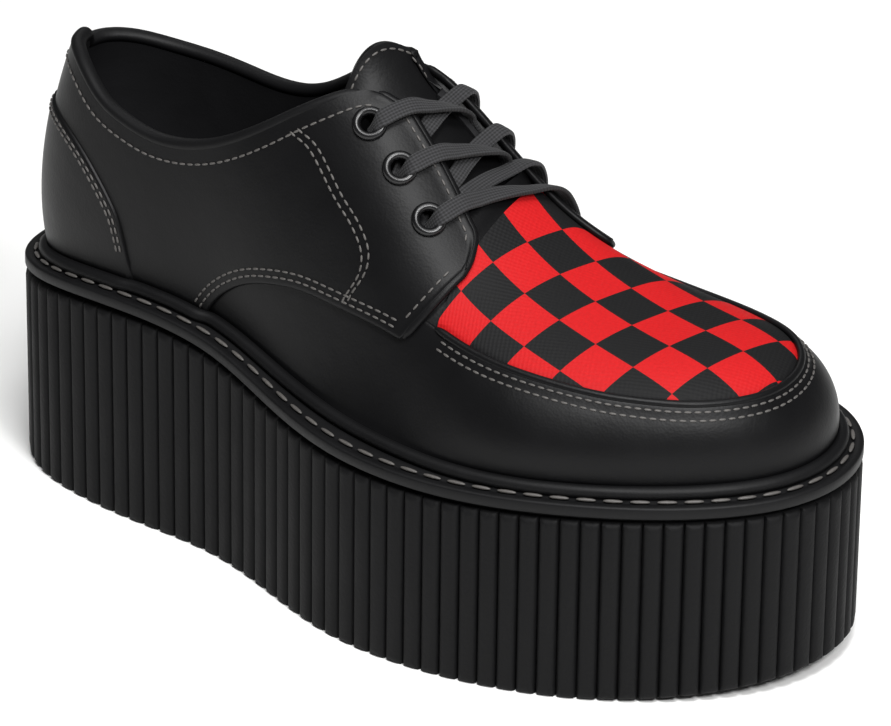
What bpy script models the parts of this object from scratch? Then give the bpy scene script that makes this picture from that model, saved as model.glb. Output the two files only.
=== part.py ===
# Creeper shoe, right foot. Metres, +Z up, toe towards +X, the wearer's lateral side towards -Y.
# The origin lies on the floor under the middle of the platform's outline.
import math

import bpy
import bmesh
import numpy as np

# Platform
LENGTH = 0.303
BALL_WIDTH = 0.1223
HEEL_HEIGHT = 0.0816
FOREFOOT_HEIGHT = 0.0702
TOE_SPRING = 0.0056
SPRING_START = 0.755
RIB_COUNT = 108
RIB_DEPTH = 0.0016
CREST_DEPTH = 0.0002

# Welt
WELT_HEIGHT = 0.0042
WELT_WIDTH = 0.0150
BEAD_HEIGHT = 0.0040
BEAD_WIDTH = 0.0036
# Shares of the bead's height at which it follows the last
BEAD_STEPS = (0.45, 0.85)

# Upper
FEATHER_INSET = 0.0094
HEEL_INSET = 0.0112
INSTEP_HEIGHT = 0.106
TOPLINE_HEIGHT = 0.100
WALL = 0.0025
LEATHER = 0.0014
APRON_THICKNESS = 0.0009
APRON_DROP = 0.0005
RIM_RISE = 0.0007
RIM_WIDTH = 0.0042
BINDING_DIAMETER = 0.0044
LINING_DROP = 0.0010
TONGUE_THICKNESS = 0.0026
TONGUE_LIFT = 0.0075
TONGUE_DEPTH = 0.0017

# Insole
INSOLE_HEIGHT = 0.0036
FILLER_INSET = 0.0154
FILLER_CLEARANCE = 0.0016
INSOLE_CLEARANCE = 0.0008

# Eyelets and laces
EYELET_DIAMETER = 0.0105
EYELET_HOLE = 0.0060
EYELET_HEIGHT = 0.0016
EYELET_SIDES = 11
LACE_WIDTH = 0.0056
LACE_THICKNESS = 0.0014

# Distance kept between pieces that touch, and between the shell and the leather panels over it
GAP = 0.0003
PANEL_GAP = 0.0006
BEAD_GAP = 0.0008

# Platform outline from the heel to the toe: place along the length, and the distances out to the
# lateral and medial edges as shares of the ball width
PLAN = (
    # along, lateral, medial
    (0.012, 0.110, 0.127),
    (0.055, 0.213, 0.229),
    (0.118, 0.274, 0.291),
    (0.205, 0.312, 0.307),
    (0.320, 0.347, 0.283),
    (0.425, 0.443, 0.276),
    (0.520, 0.531, 0.312),
    (0.618, 0.558, 0.381),
    (0.705, 0.536, 0.425),
    (0.790, 0.475, 0.442),
    (0.868, 0.381, 0.427),
    (0.936, 0.253, 0.370),
    (0.982, 0.106, 0.253),
)
HEEL_TIP = 0.009
TOE_TIP = 0.053

# Top of the platform: share of the rise from the forefoot height to the heel height
RISE = (
    # along, rise
    (0.00, 0.36),
    (0.11, 0.82),
    (0.21, 1.00),
    (0.31, 0.77),
    (0.41, 0.30),
    (0.51, 0.07),
    (0.64, -0.05),
    (0.80, 0.03),
    (1.00, 0.03),
)

# Sections of the last: height of the ridge as a share of the instep height, squareness of the
# section, bulge of the side, ridge's distance towards the medial side as a share of the ball width,
# and the forward lean of the back of the heel
SECTIONS = (
    # along, height, squareness, bulge, ridge, lean
    (0.01, 0.925, 2.60, 0.130, 0.000, 0.40),
    (0.11, 0.953, 3.00, 0.120, 0.000, 0.17),
    (0.21, 0.972, 3.10, 0.080, 0.000, 0.02),
    (0.28, 0.981, 2.90, 0.050, 0.004, 0.00),
    (0.34, 1.000, 2.35, 0.020, 0.020, 0.00),
    (0.41, 0.981, 2.00, -0.050, 0.057, 0.00),
    (0.50, 0.858, 1.95, -0.120, 0.106, 0.00),
    (0.57, 0.675, 1.95, -0.100, 0.131, 0.00),
    (0.62, 0.555, 2.05, -0.040, 0.131, 0.00),
    (0.72, 0.413, 2.65, 0.050, 0.086, 0.00),
    (0.80, 0.358, 2.95, 0.070, 0.033, 0.00),
    (0.88, 0.335, 3.00, 0.050, 0.000, 0.00),
    (0.94, 0.321, 2.90, 0.040, -0.008, 0.00),
    (1.00, 0.289, 2.60, 0.020, -0.008, 0.00),
)
HEEL_POLE = 0.131
TOE_POLE = 0.824
POLE_SOFTNESS = 0.086

# Topline seen from the side, as shares of the topline height above the platform's top
TOPLINE_LATERAL = (
    # along, height
    (0.000, 0.728),
    (0.095, 0.715),
    (0.138, 0.625),
    (0.178, 0.578),
    (0.214, 0.557),
    (0.257, 0.570),
    (0.293, 0.613),
    (0.329, 0.683),
    (0.362, 0.763),
    (0.390, 0.834),
    (0.417, 0.891),
    (0.435, 0.921),
    (0.452, 0.932),
    (0.480, 0.905),
)
TOPLINE_MEDIAL = (
    # along, height
    (0.000, 0.728),
    (0.080, 0.690),
    (0.122, 0.640),
    (0.174, 0.603),
    (0.227, 0.585),
    (0.280, 0.595),
    (0.329, 0.660),
    (0.375, 0.780),
    (0.415, 0.885),
    (0.440, 0.928),
    (0.460, 0.940),
    (0.490, 0.915),
)

# Edges of the facings seen from above: distance towards the medial side as a share of the ball width
FACING_LATERAL = (
    # along, across
    (0.462, -0.030),
    (0.479, -0.038),
    (0.510, -0.057),
    (0.531, -0.068),
    (0.549, -0.080),
    (0.568, -0.097),
    (0.585, -0.116),
    (0.596, -0.140),
    (0.604, -0.200),
)
FACING_MEDIAL = (
    # along, across
    (0.470, 0.100),
    (0.505, 0.125),
    (0.539, 0.143),
    (0.577, 0.163),
    (0.613, 0.185),
    (0.646, 0.206),
    (0.663, 0.216),
    (0.672, 0.228),
)

# Lower front edges of the two noses, seen from above
NOSE_LATERAL = (
    # along, across
    (0.567, -0.355),
    (0.580, -0.331),
    (0.595, -0.273),
    (0.604, -0.212),
)
NOSE_MEDIAL = (
    # along, across
    (0.630, 0.285),
    (0.650, 0.268),
    (0.664, 0.252),
    (0.672, 0.242),
)

# Arch over the toe wall's wing, and the top edge of the heel counter, seen from the side
ARCH_LATERAL = (
    # along, height
    (0.288, 0.000),
    (0.302, 0.070),
    (0.328, 0.165),
    (0.356, 0.235),
    (0.391, 0.290),
    (0.425, 0.322),
    (0.466, 0.331),
    (0.534, 0.325),
    (0.567, 0.315),
)
ARCH_MEDIAL = (
    # along, height
    (0.288, 0.000),
    (0.302, 0.070),
    (0.328, 0.165),
    (0.356, 0.235),
    (0.391, 0.290),
    (0.425, 0.322),
    (0.466, 0.331),
    (0.560, 0.325),
    (0.630, 0.310),
)
COUNTER = (
    # along, height
    (0.000, 0.555),
    (0.068, 0.530),
    (0.111, 0.465),
    (0.146, 0.370),
    (0.169, 0.280),
    (0.179, 0.215),
    (0.186, 0.130),
    (0.193, 0.030),
)

# Edge of the checkered apron, seen from above, on the two sides
APRON_LATERAL = (
    # along, across
    (0.560, -0.325),
    (0.600, -0.333),
    (0.632, -0.345),
    (0.684, -0.357),
    (0.730, -0.350),
    (0.773, -0.329),
    (0.813, -0.296),
    (0.850, -0.249),
    (0.883, -0.190),
    (0.913, -0.114),
    (0.930, -0.034),
    (0.936, 0.045),
)
APRON_MEDIAL = (
    # along, across
    (0.560, 0.240),
    (0.632, 0.262),
    (0.684, 0.288),
    (0.730, 0.305),
    (0.773, 0.312),
    (0.813, 0.305),
    (0.850, 0.285),
    (0.883, 0.250),
    (0.913, 0.195),
    (0.930, 0.125),
    (0.936, 0.045),
)
THROAT_FRONT = 0.582
VAMP_BACK = 0.590
RECESS_BACK = 0.5915
APRON_BACK = 0.5935

# Tongue from its top edge to its root under the vamp: its two edges seen from above
TONGUE_LATERAL = (
    # along, across
    (0.440, -0.004),
    (0.446, -0.044),
    (0.456, -0.074),
    (0.475, -0.104),
    (0.510, -0.150),
    (0.560, -0.165),
    (0.625, -0.150),
)
TONGUE_MEDIAL = (
    # along, across
    (0.440, 0.124),
    (0.446, 0.150),
    (0.456, 0.170),
    (0.475, 0.192),
    (0.510, 0.215),
    (0.560, 0.235),
    (0.625, 0.240),
)
TONGUE_CURL = 0.487

# Eyelets: place along the length, distance back from the facing's edge
EYELETS_LATERAL = (0.466, 0.509, 0.552)
EYELETS_MEDIAL = (0.510, 0.548, 0.586, 0.624)
EYELET_BACKSET = 0.0150

# Where the side panels start beside the heel's centre line, as a part of the first column's width
BACK_SEAM = 0.06
FOOT_CLEARANCE = 0.0009
# Share of the length from the counter's end to the first full column of the side panels
COUNTER_LAP = 0.003

COLUMNS = 34
FINE = 121


def spline(table, column, at):
    """Cubic curve through one column of a table, read at the places given."""
    knots = np.array([row[0] for row in table])
    values = np.array([row[column] for row in table])
    steps = np.diff(knots)
    slopes = np.diff(values) / steps
    count = len(knots)
    matrix = np.eye(count)
    right = np.zeros(count)
    for i in range(1, count - 1):
        matrix[i, i - 1:i + 2] = steps[i - 1], 2 * (steps[i - 1] + steps[i]), steps[i]
        right[i] = 6 * (slopes[i] - slopes[i - 1])
    bend = np.linalg.solve(matrix, right)
    at = np.clip(np.asarray(at, float), knots[0], knots[-1])
    i = np.clip(np.searchsorted(knots, at, side="right") - 1, 0, count - 2)
    step = steps[i]
    t = at - knots[i]
    u = step - t
    return ((bend[i] * u ** 3 + bend[i + 1] * t ** 3) / (6 * step)
            + (values[i] / step - bend[i] * step / 6) * u
            + (values[i + 1] / step - bend[i + 1] * step / 6) * t)


def closed_spline(points, count):
    """Closed smooth curve through the points, at equal steps along its length."""
    gaps = np.linalg.norm(np.roll(points, -1, 0) - points, axis=1)
    size = len(points)
    matrix = np.zeros((size, size))
    right = np.zeros((size, 2))
    for i in range(size):
        before, after = gaps[i - 1], gaps[i]
        matrix[i, i - 1] += before
        matrix[i, i] += 2 * (before + after)
        matrix[i, (i + 1) % size] += after
        ahead = (points[(i + 1) % size] - points[i]) / after
        behind = (points[i] - points[i - 1]) / before
        right[i] = 6 * (ahead - behind)
    bend = np.linalg.solve(matrix, right)
    dense = []
    for i in range(size):
        j = (i + 1) % size
        for t in np.linspace(0, gaps[i], 60, endpoint=False):
            u = gaps[i] - t
            dense.append((bend[i] * u ** 3 + bend[j] * t ** 3) / (6 * gaps[i])
                         + (points[i] / gaps[i] - bend[i] * gaps[i] / 6) * u
                         + (points[j] / gaps[i] - bend[j] * gaps[i] / 6) * t)
    dense = np.array(dense + dense[:1])
    run = np.r_[0, np.cumsum(np.linalg.norm(np.diff(dense, axis=0), axis=1))]
    at = np.linspace(0, run[-1], count, endpoint=False)
    return np.c_[np.interp(at, run, dense[:, 0]), np.interp(at, run, dense[:, 1])]


def platform_line(count):
    """Outline of the platform from the heel tip round the lateral side, centred on the origin."""
    lateral = [(row[0] * LENGTH, -row[1] * BALL_WIDTH) for row in PLAN]
    medial = [(row[0] * LENGTH, row[2] * BALL_WIDTH) for row in PLAN]
    tips = [(0.0, HEEL_TIP * BALL_WIDTH)], [(LENGTH, TOE_TIP * BALL_WIDTH)]
    points = np.array(tips[0] + lateral + tips[1] + medial[::-1])
    line = closed_spline(points, count)
    return line - centre()


def centre():
    """Middle of the outline's box, before it is moved to the origin."""
    across = (max(row[2] for row in PLAN) - max(row[1] for row in PLAN)) / 2
    return np.array([LENGTH / 2, across * BALL_WIDTH])


def outward(line):
    """Outward directions along a closed outline."""
    along = np.roll(line, -1, 0) - np.roll(line, 1, 0)
    along /= np.linalg.norm(along, axis=1)[:, None]
    return np.c_[along[:, 1], -along[:, 0]]


def share(x):
    """Place along the length, from 0 at the heel to 1 at the toe."""
    return np.clip(np.asarray(x) / LENGTH + 0.5, 0, 1)


def across(value):
    """Distance from the last's axis, given as a share of the ball width, in the part's own frame."""
    return np.asarray(value) * BALL_WIDTH - centre()[1]


def platform_top(x):
    return FOREFOOT_HEIGHT + (HEEL_HEIGHT - FOREFOOT_HEIGHT) * spline(RISE, 1, share(x))


def platform_bottom(x):
    past = np.clip((share(x) - SPRING_START) / (1 - SPRING_START), 0, 1)
    return TOE_SPRING * past ** 2


def feather_inset(x):
    """Distance of the feather line from the platform's edge, more round the heel."""
    rear = np.clip((0.40 - share(x)) / 0.16, 0, 1)
    return FEATHER_INSET + (HEEL_INSET - FEATHER_INSET) * rear * rear * (3 - 2 * rear)


def feather_columns(extra=()):
    """Feather points in pairs with one x for both sides: the angles, the x and the two y values."""
    line = platform_line(1440)
    line = line - outward(line) * feather_inset(line[:, 0])[:, None]
    heel, toe = line[:, 0].argmin(), line[:, 0].argmax()
    low, high = line[heel, 0], line[toe, 0]
    middle, half = (low + high) / 2, (high - low) / 2
    turned = np.roll(line, -heel, 0)
    toe = turned[:, 0].argmax()
    angle = np.arccos(np.clip((middle - turned[:, 0]) / half, -1, 1))
    wanted = np.linspace(0, math.pi, COLUMNS + 1)
    special = np.arccos((middle - (np.array(extra) - 0.5) * LENGTH) / half)
    near = np.abs(wanted[:, None] - special[None, :]).min(axis=1)
    wanted = np.sort(np.append(wanted[near > 0.35 * math.pi / COLUMNS], special))
    lateral = np.interp(wanted, angle[:toe + 1], turned[:toe + 1, 1])
    medial = np.interp(wanted, angle[toe:][::-1], turned[toe:, 1][::-1])
    medial[0] = lateral[0]
    medial[-1] = lateral[-1]
    return middle - half * np.cos(wanted), lateral, medial


def ridge_place(x):
    """Where a column ends on the ridge: its own x, eased to a stop at the heel and toe poles."""
    def ease(value, stop):
        past = np.clip(value - stop + POLE_SOFTNESS, 0, 2 * POLE_SOFTNESS)
        return np.where(value - stop > POLE_SOFTNESS, value, stop + past ** 2 / (4 * POLE_SOFTNESS))
    eased = -ease(-ease(x / LENGTH + 0.5, HEEL_POLE), -TOE_POLE)
    return (eased - 0.5) * LENGTH


def last_columns(x, y):
    """The last's surface over feather points: fine points, normals and running shares of a column."""
    x, y = np.asarray(x)[:, None], np.asarray(y)[:, None]
    turn = math.pi / 2 * np.linspace(0, 1, FINE)[None, :] ** 1.6
    place = share(x)
    end_x = ridge_place(x)
    end_y = across(spline(SECTIONS, 4, share(end_x)))
    power = 2 / spline(SECTIONS, 2, place)
    rise = np.sin(turn) ** power
    reach = np.clip(np.cos(turn), 0, 1) ** power
    reach = reach * (1 + spline(SECTIONS, 3, place) * np.sin(math.pi * rise ** 0.65))
    reach = reach * (1 - spline(SECTIONS, 5, place) * rise ** 2)
    px = end_x + reach * (x - end_x)
    py = end_y + reach * (y - end_y)
    height = INSTEP_HEIGHT * spline(SECTIONS, 1, share(px))
    pz = platform_top(px) + GAP + height * rise
    points = np.stack([px, py, pz], axis=2)
    points[:, -1, 0] = end_x[:, 0]
    points[:, -1, 1] = end_y[:, 0]
    run = np.cumsum(np.linalg.norm(np.diff(points, axis=1), axis=2), axis=1)
    run = np.concatenate([np.zeros((len(points), 1)), run], axis=1)
    return points, run / run[:, -1:]


class Side:
    """One side of the last, heel to toe: its surface read by column and share of the column."""

    def __init__(self, x, y, side):
        self.x = np.array(x)
        self.side = side
        self.points, self.run = last_columns(x, y)
        self.normal = self.make_normals()

    def make_normals(self):
        """Normals from the columns on both sides of each; the tips and the ridge have plain ones."""
        points = self.points
        along = np.zeros_like(points)
        along[1:-1] = points[2:] - points[:-2]
        along[0] = (0, self.side, 0)
        along[-1] = (0, -self.side, 0)
        normal = np.cross(along, np.gradient(points, axis=1)) * -self.side
        normal[:, -1] = self.ridge_normals()
        size = np.linalg.norm(normal, axis=2, keepdims=True)
        return normal / np.where(size < 1e-15, 1, size)

    def ridge_normals(self):
        x = self.points[:, -1, 0]
        step = 0.002
        high = [platform_top(x + d) + INSTEP_HEIGHT * spline(SECTIONS, 1, share(x + d)) for d in (-step, step)]
        slope = (high[1] - high[0]) / (2 * step)
        return np.stack([-slope, np.zeros_like(slope), np.ones_like(slope)], axis=1)

    def column(self, place):
        """Fractional column over a place along the length."""
        return float(np.interp((place - 0.5) * LENGTH, self.x, np.arange(len(self.x))))

    def mixed(self, values, column):
        first = min(int(column), len(values) - 2)
        part = column - first
        return values[first] * (1 - part) + values[first + 1] * part

    def at(self, column, height, offset):
        """A point at a share of a column's length, set off from the surface."""
        run = self.mixed(self.run, column)
        points = self.mixed(self.points, column)
        normals = self.mixed(self.normal, column)
        point = np.array([np.interp(height, run, points[:, k]) for k in range(3)])
        normal = np.array([np.interp(height, run, normals[:, k]) for k in range(3)])
        return point + normal / np.linalg.norm(normal) * offset

    def length(self, column):
        points = self.mixed(self.points, column)
        return np.linalg.norm(np.diff(points, axis=0), axis=1).sum()

    def level(self, column, table):
        """Share of a column where it crosses a line drawn on the side view."""
        points = self.mixed(self.points, column)
        line = TOPLINE_HEIGHT * spline(table, 1, share(points[:, 0]))
        return self.crossing(column, points[:, 2] - platform_top(points[:, 0]) - GAP - line)

    def width(self, column, table):
        """Share of a column where it crosses a line drawn on the plan view."""
        points = self.mixed(self.points, column)
        line = across(spline(table, 1, share(points[:, 0])))
        return self.crossing(column, (line - points[:, 1]) * self.side)

    def reaching(self, column, y):
        """Share of a column where it reaches a distance across."""
        points = self.mixed(self.points, column)
        return self.crossing(column, (y - points[:, 1]) * self.side)

    def crossing(self, column, value):
        run = self.mixed(self.run, column)
        for i in range(1, len(value)):
            if value[i] >= 0 > value[i - 1]:
                return run[i - 1] + (run[i] - run[i - 1]) * value[i - 1] / (value[i - 1] - value[i])
        return 0.0 if value[0] >= 0 else 1.0


def material(name, colour, roughness, metallic=0.0):
    made = bpy.data.materials.new(name)
    made.use_nodes = True
    shader = made.node_tree.nodes["Principled BSDF"]
    shader.inputs["Base Color"].default_value = (*colour, 1)
    shader.inputs["Roughness"].default_value = roughness
    shader.inputs["Metallic"].default_value = metallic
    return made


def make_object(name, points, faces, finish, sharp=40):
    """An object from points and faces, with points that coincide joined."""
    mesh = bpy.data.meshes.new(name)
    mesh.from_pydata([tuple(p) for p in points], [], faces)
    work = bmesh.new()
    work.from_mesh(mesh)
    bmesh.ops.remove_doubles(work, verts=work.verts, dist=2e-6)
    bmesh.ops.dissolve_degenerate(work, edges=work.edges, dist=1e-6)
    bmesh.ops.triangulate(work, faces=work.faces)
    bmesh.ops.recalc_face_normals(work, faces=work.faces)
    work.to_mesh(mesh)
    work.free()
    mesh.shade_smooth()
    mesh.set_sharp_from_angle(angle=math.radians(sharp))
    mesh.materials.append(finish)
    made = bpy.data.objects.new(name, mesh)
    bpy.context.collection.objects.link(made)
    return made


def stacked_rings(name, rings, finish, sharp=40):
    """A solid from rings of equal count, one above another, its ends closed by rungs from side to side."""
    count = len(rings[0])
    points = [p for ring in rings for p in ring]
    faces = []
    for k in range(len(rings) - 1):
        for i in range(count):
            j = (i + 1) % count
            faces.append((k * count + i, k * count + j, (k + 1) * count + j, (k + 1) * count + i))
    for k in (0, len(rings) - 1):
        base = k * count
        for i in range(count // 2):
            rung = [base + i, base + i + 1, base + (count - i - 1) % count, base + (count - i) % count]
            rung = [p for n, p in enumerate(rung) if p not in rung[:n]]
            faces.append(tuple(rung if k == 0 else rung[::-1]))
    return make_object(name, points, faces, finish, sharp)


def grounded(point):
    """The point, raised to the platform's top where it would be below it."""
    return np.array([point[0], point[1], max(point[2], platform_top(point[0]) + GAP)])


def sheet(name, path, rows, finish, closed=False, sharp=40):
    """A shell over part of the last.

    path lists the side and column of each rib of the sheet, and rows gives for each of them its
    (height, outer offset, inner offset) from bottom to top.
    """
    count, high = len(path), len(rows[0])
    outer, inner = [], []
    for (side, column), row in zip(path, rows):
        outer += [grounded(side.at(column, height, out)) for height, out, _ in row]
        inner += [grounded(side.at(column, height, back)) for height, _, back in row]
    base = len(outer)
    faces = []
    for i in range(count if closed else count - 1):
        j = (i + 1) % count
        for k in range(high - 1):
            a, b, c, d = i * high + k, j * high + k, j * high + k + 1, i * high + k + 1
            faces.append((a, b, c, d))
            faces.append((base + d, base + c, base + b, base + a))
        faces.append((i * high, base + i * high, base + j * high, j * high))
        top, next_top = i * high + high - 1, j * high + high - 1
        if rows[i][-1][0] < 1 or rows[j][-1][0] < 1:
            faces.append((top, next_top, base + next_top, base + top))
    if not closed:
        for i in (0, count - 1):
            for k in range(high - 1):
                a, b = i * high + k, i * high + k + 1
                cap = (a, b, base + b, base + a)
                faces.append(cap if i == 0 else cap[::-1])
    return make_object(name, outer + inner, faces, finish, sharp)


def rib_ring(height):
    """Ring round the ribbed wall: three points to a rib, its groove and the two edges of its crest."""
    line = platform_line(3 * RIB_COUNT)
    depth = np.tile([RIB_DEPTH, CREST_DEPTH, CREST_DEPTH], RIB_COUNT)
    return np.c_[line - outward(line) * depth[:, None], height(line[:, 0])]


def make_outsole(finish):
    def under_welt(x):
        return platform_top(x) - WELT_HEIGHT - GAP
    return stacked_rings("outsole", [rib_ring(platform_bottom), rib_ring(under_welt)], finish, 50)


def welt_seat(x):
    """Distance from the last to the welt's bead: the gap, and the quarter's leather behind the arch."""
    start = ARCH_LATERAL[0][0]
    rear = np.clip((start + 0.055 - share(x)) / 0.04, 0, 1)
    return BEAD_GAP + (LEATHER + PANEL_GAP) * rear * rear * (3 - 2 * rear)


def on_platform(spot, rise):
    """A point over a spot on the plan, a little above or below the platform's top."""
    return float(spot[0]), float(spot[1]), float(platform_top(spot[0])) + rise


def make_welt(sides, finish):
    """The stitched ledge with its side band, and the rolled bead that hugs the upper."""
    path = loop_path(sides)
    sections = []
    for (side, column), (point, out) in zip(path, edge_line(path)):
        size = side.length(column)
        seat = welt_seat(point[0])
        hug = [side.at(column, rise * BEAD_HEIGHT / size, seat)[:2] for rise in (0.0, *BEAD_STEPS)]
        outer = hug[0] + out * BEAD_WIDTH
        crown = hug[2] + out * BEAD_WIDTH * 0.42
        back = point - out * WELT_WIDTH
        sections.append([
            on_platform(point, -WELT_HEIGHT), on_platform(point, 0), on_platform(outer, 0),
            on_platform(outer, 0.4 * BEAD_HEIGHT), on_platform(crown, BEAD_HEIGHT),
            on_platform(hug[1], 0.45 * BEAD_HEIGHT), on_platform(hug[0], 0), on_platform(back, 0),
            on_platform(back, -WELT_HEIGHT)])
    return ring_band("welt", sections, finish)


def ring_band(name, sections, finish, sharp=40):
    """A closed band from closed sections."""
    count, size = len(sections), len(sections[0])
    points = [p for section in sections for p in section]
    faces = []
    for i in range(count):
        j = (i + 1) % count
        for k in range(size):
            m = (k + 1) % size
            faces.append((i * size + k, i * size + m, j * size + m, j * size + k))
    return make_object(name, points, faces, finish, sharp)


def loop_path(sides):
    """All columns once round: lateral side from heel to toe, then back along the medial side."""
    lateral, medial = sides
    last = len(lateral.x) - 1
    return [(lateral, k) for k in range(last + 1)] + [(medial, k) for k in range(last - 1, 0, -1)]


def edge_line(path):
    """For each column of the loop, the nearest place on the platform's edge and the way out to it."""
    line = platform_line(1440)
    way = outward(line)
    found = []
    for side, column in path:
        foot = side.points[int(column)][0][:2]
        nearest = np.linalg.norm(line - foot, axis=1).argmin()
        found.append((line[nearest], way[nearest]))
    return found


def make_insole(sides, finish):
    """The board and sock: a filler inside the welt, and the bed that reaches the upper's inner wall."""
    path = loop_path(sides)
    rings = [[], [], [], []]
    for (side, column), (point, out) in zip(path, edge_line(path)):
        low = point - out * FILLER_INSET
        size = side.length(column)
        inside = np.array([side.at(column, h / size, -WALL - INSOLE_CLEARANCE)
                           for h in np.linspace(0, 3.5 * INSOLE_HEIGHT, 12)])
        rise = inside[:, 2] - platform_top(inside[:, 0])
        foot, bed = ([np.interp(level, rise, inside[:, k]) for k in (0, 1)] for level in (GAP, INSOLE_HEIGHT))
        rings[0].append(on_platform(low, FILLER_CLEARANCE - WELT_HEIGHT))
        rings[1].append(on_platform(low, GAP))
        rings[2].append(on_platform(foot, GAP))
        rings[3].append(on_platform(bed, INSOLE_HEIGHT))
    return stacked_rings("insole", rings, finish)


def place(x):
    return float(share(x))


def apron_line(side, column):
    """Share of a column at the apron's edge; the toe columns read the edge where they cross it."""
    table = APRON_LATERAL if side.side < 0 else APRON_MEDIAL
    points = side.mixed(side.points, column)
    along = share(points[:, 0])
    line = across(spline(table, 1, along))
    value = (line - points[:, 1]) * side.side
    beyond = (APRON_LATERAL[-1][0] - along) * LENGTH
    return side.crossing(column, np.minimum(value, beyond))


def shell_top(side, column):
    """Share of a column at the upper's free edge: topline, throat, or none where it is closed."""
    lateral = side.side < 0
    where = place(side.x[column])
    topline = TOPLINE_LATERAL if lateral else TOPLINE_MEDIAL
    facing = FACING_LATERAL if lateral else FACING_MEDIAL
    if where > THROAT_FRONT + 1e-6:
        return 1.0
    size = side.length(column)
    if where < facing[0][0]:
        return side.level(column, topline) - LINING_DROP / size
    return min(side.width(column, facing), side.level(column, topline)) - LINING_DROP / size


def climb(low, high, size, count):
    """Heights up a column, closer together near the feather line, where the side bulges out."""
    if low * size > FOOT_CLEARANCE + GAP or (high - low) * size < 2 * BEAD_HEIGHT:
        return np.linspace(low, high, count)
    steps = BEAD_HEIGHT * np.array(BEAD_STEPS) / size
    return np.r_[low, steps, np.linspace(steps[-1], high, count - 2)[1:]]


def make_upper(sides, finish):
    """The hollow shell: lining, vamp and toe wall, with the recess that the apron lies in."""
    path = loop_path(sides)
    recess = APRON_DROP + APRON_THICKNESS + GAP
    rows = []
    for side, column in path:
        where = place(side.x[column])
        size = side.length(column)
        top = shell_top(side, column)
        even = climb(0, top, size, 12)
        edge = apron_line(side, column)
        lip, rim = GAP / size, RIM_WIDTH / size
        rise_start = FACING_LATERAL[-1][0] if side.side < 0 else FACING_MEDIAL[-1][0]
        rise = RIM_RISE * np.clip((where - rise_start - 0.005) / 0.04, 0, 1)
        stepped = np.array([
            *climb(0, edge - rim, size, 5), edge - 0.5 * rim, edge, edge + lip,
            *np.linspace(edge + lip, top, 5)[1:]])
        mix = float(np.clip((where - 0.50) / 0.06, 0, 1))
        heights = even * (1 - mix) + stepped * mix
        deep = recess if where > RECESS_BACK - 1e-6 else 0.0
        offsets = [0, 0, 0, 0, 0, rise, rise * 0.7] + [-deep] * 5
        rows.append([(h, o, -WALL) for h, o in zip(heights, offsets)])
    return sheet("upper", path, rows, finish, closed=True)


def make_apron(sides, finish):
    lateral, medial = sides
    first = round(lateral.column(APRON_BACK))
    last = len(lateral.x) - 1
    path = [(lateral, k) for k in range(first, last + 1)] + [(medial, k) for k in range(last - 1, first - 1, -1)]
    rows = []
    for side, column in path:
        low = apron_line(side, column) + 2.5 * GAP / side.length(column)
        rows.append([(h, -APRON_DROP, -APRON_DROP - APRON_THICKNESS) for h in np.linspace(low, 1, 5)])
    return sheet("apron", path, rows, finish)


def make_quarter(name, side, finish):
    """A laced side panel, from the back seam to the nose in front of the facing."""
    lateral = side.side < 0
    facing = FACING_LATERAL if lateral else FACING_MEDIAL
    nose = NOSE_LATERAL if lateral else NOSE_MEDIAL
    arch = ARCH_LATERAL if lateral else ARCH_MEDIAL
    topline = TOPLINE_LATERAL if lateral else TOPLINE_MEDIAL
    path, rows = [], []
    for column in [BACK_SEAM, *range(1, len(side.x))]:
        where = place(side.mixed(side.x, column))
        if where > facing[-1][0] + 1e-6:
            break
        size = side.length(column)
        if where < COUNTER[-1][0] + 1e-6:
            low = side.level(column, COUNTER) + 2 * GAP / size
        elif where < arch[0][0] + 1e-6:
            low = FOOT_CLEARANCE / size
        elif where < nose[0][0]:
            low = side.level(column, arch)
        else:
            low = side.width(column, nose)
        high = side.level(column, topline)
        if where > facing[0][0]:
            high = min(side.width(column, facing), high)
        out, back = PANEL_GAP + LEATHER, PANEL_GAP
        path.append((side, column))
        rows.append([(h, out, back) for h in climb(low, high, size, 9)])
    return sheet(name, path, rows, finish)


def make_counter(sides, finish):
    lateral, medial = sides
    last = round(lateral.column(COUNTER[-1][0]))
    path = [(medial, k) for k in range(last, 0, -1)] + [(lateral, k) for k in range(0, last + 1)]
    rows = []
    for side, column in path:
        high = side.level(column, COUNTER)
        size = side.length(column)
        rows.append([(h, PANEL_GAP + LEATHER, PANEL_GAP) for h in climb(FOOT_CLEARANCE / size, high, size, 7)])
    return sheet("heel_counter", path, rows, finish)


def surface_point(sides, where, y, offset):
    """A point of the last over a place on the plan, set off along the normal."""
    lateral, medial = sides
    ridge = across(spline(SECTIONS, 4, where))
    side = lateral if y < ridge else medial
    column = side.column(where)
    return side.at(column, side.reaching(column, y), offset)


def curl(point, where):
    """Height that the tongue's free end is lifted by, most along its middle."""
    past = np.clip((TONGUE_CURL - where) / (TONGUE_CURL - TONGUE_LATERAL[0][0]), 0, 1)
    middle = across((TONGUE_LATERAL[3][1] + TONGUE_MEDIAL[3][1]) / 2)
    half = (TONGUE_MEDIAL[3][1] - TONGUE_LATERAL[3][1]) / 2 * BALL_WIDTH
    aside = np.clip((point[1] - middle) / half, -1, 1)
    return TONGUE_LIFT * past ** 1.5 * math.cos(aside * math.pi / 2)


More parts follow.
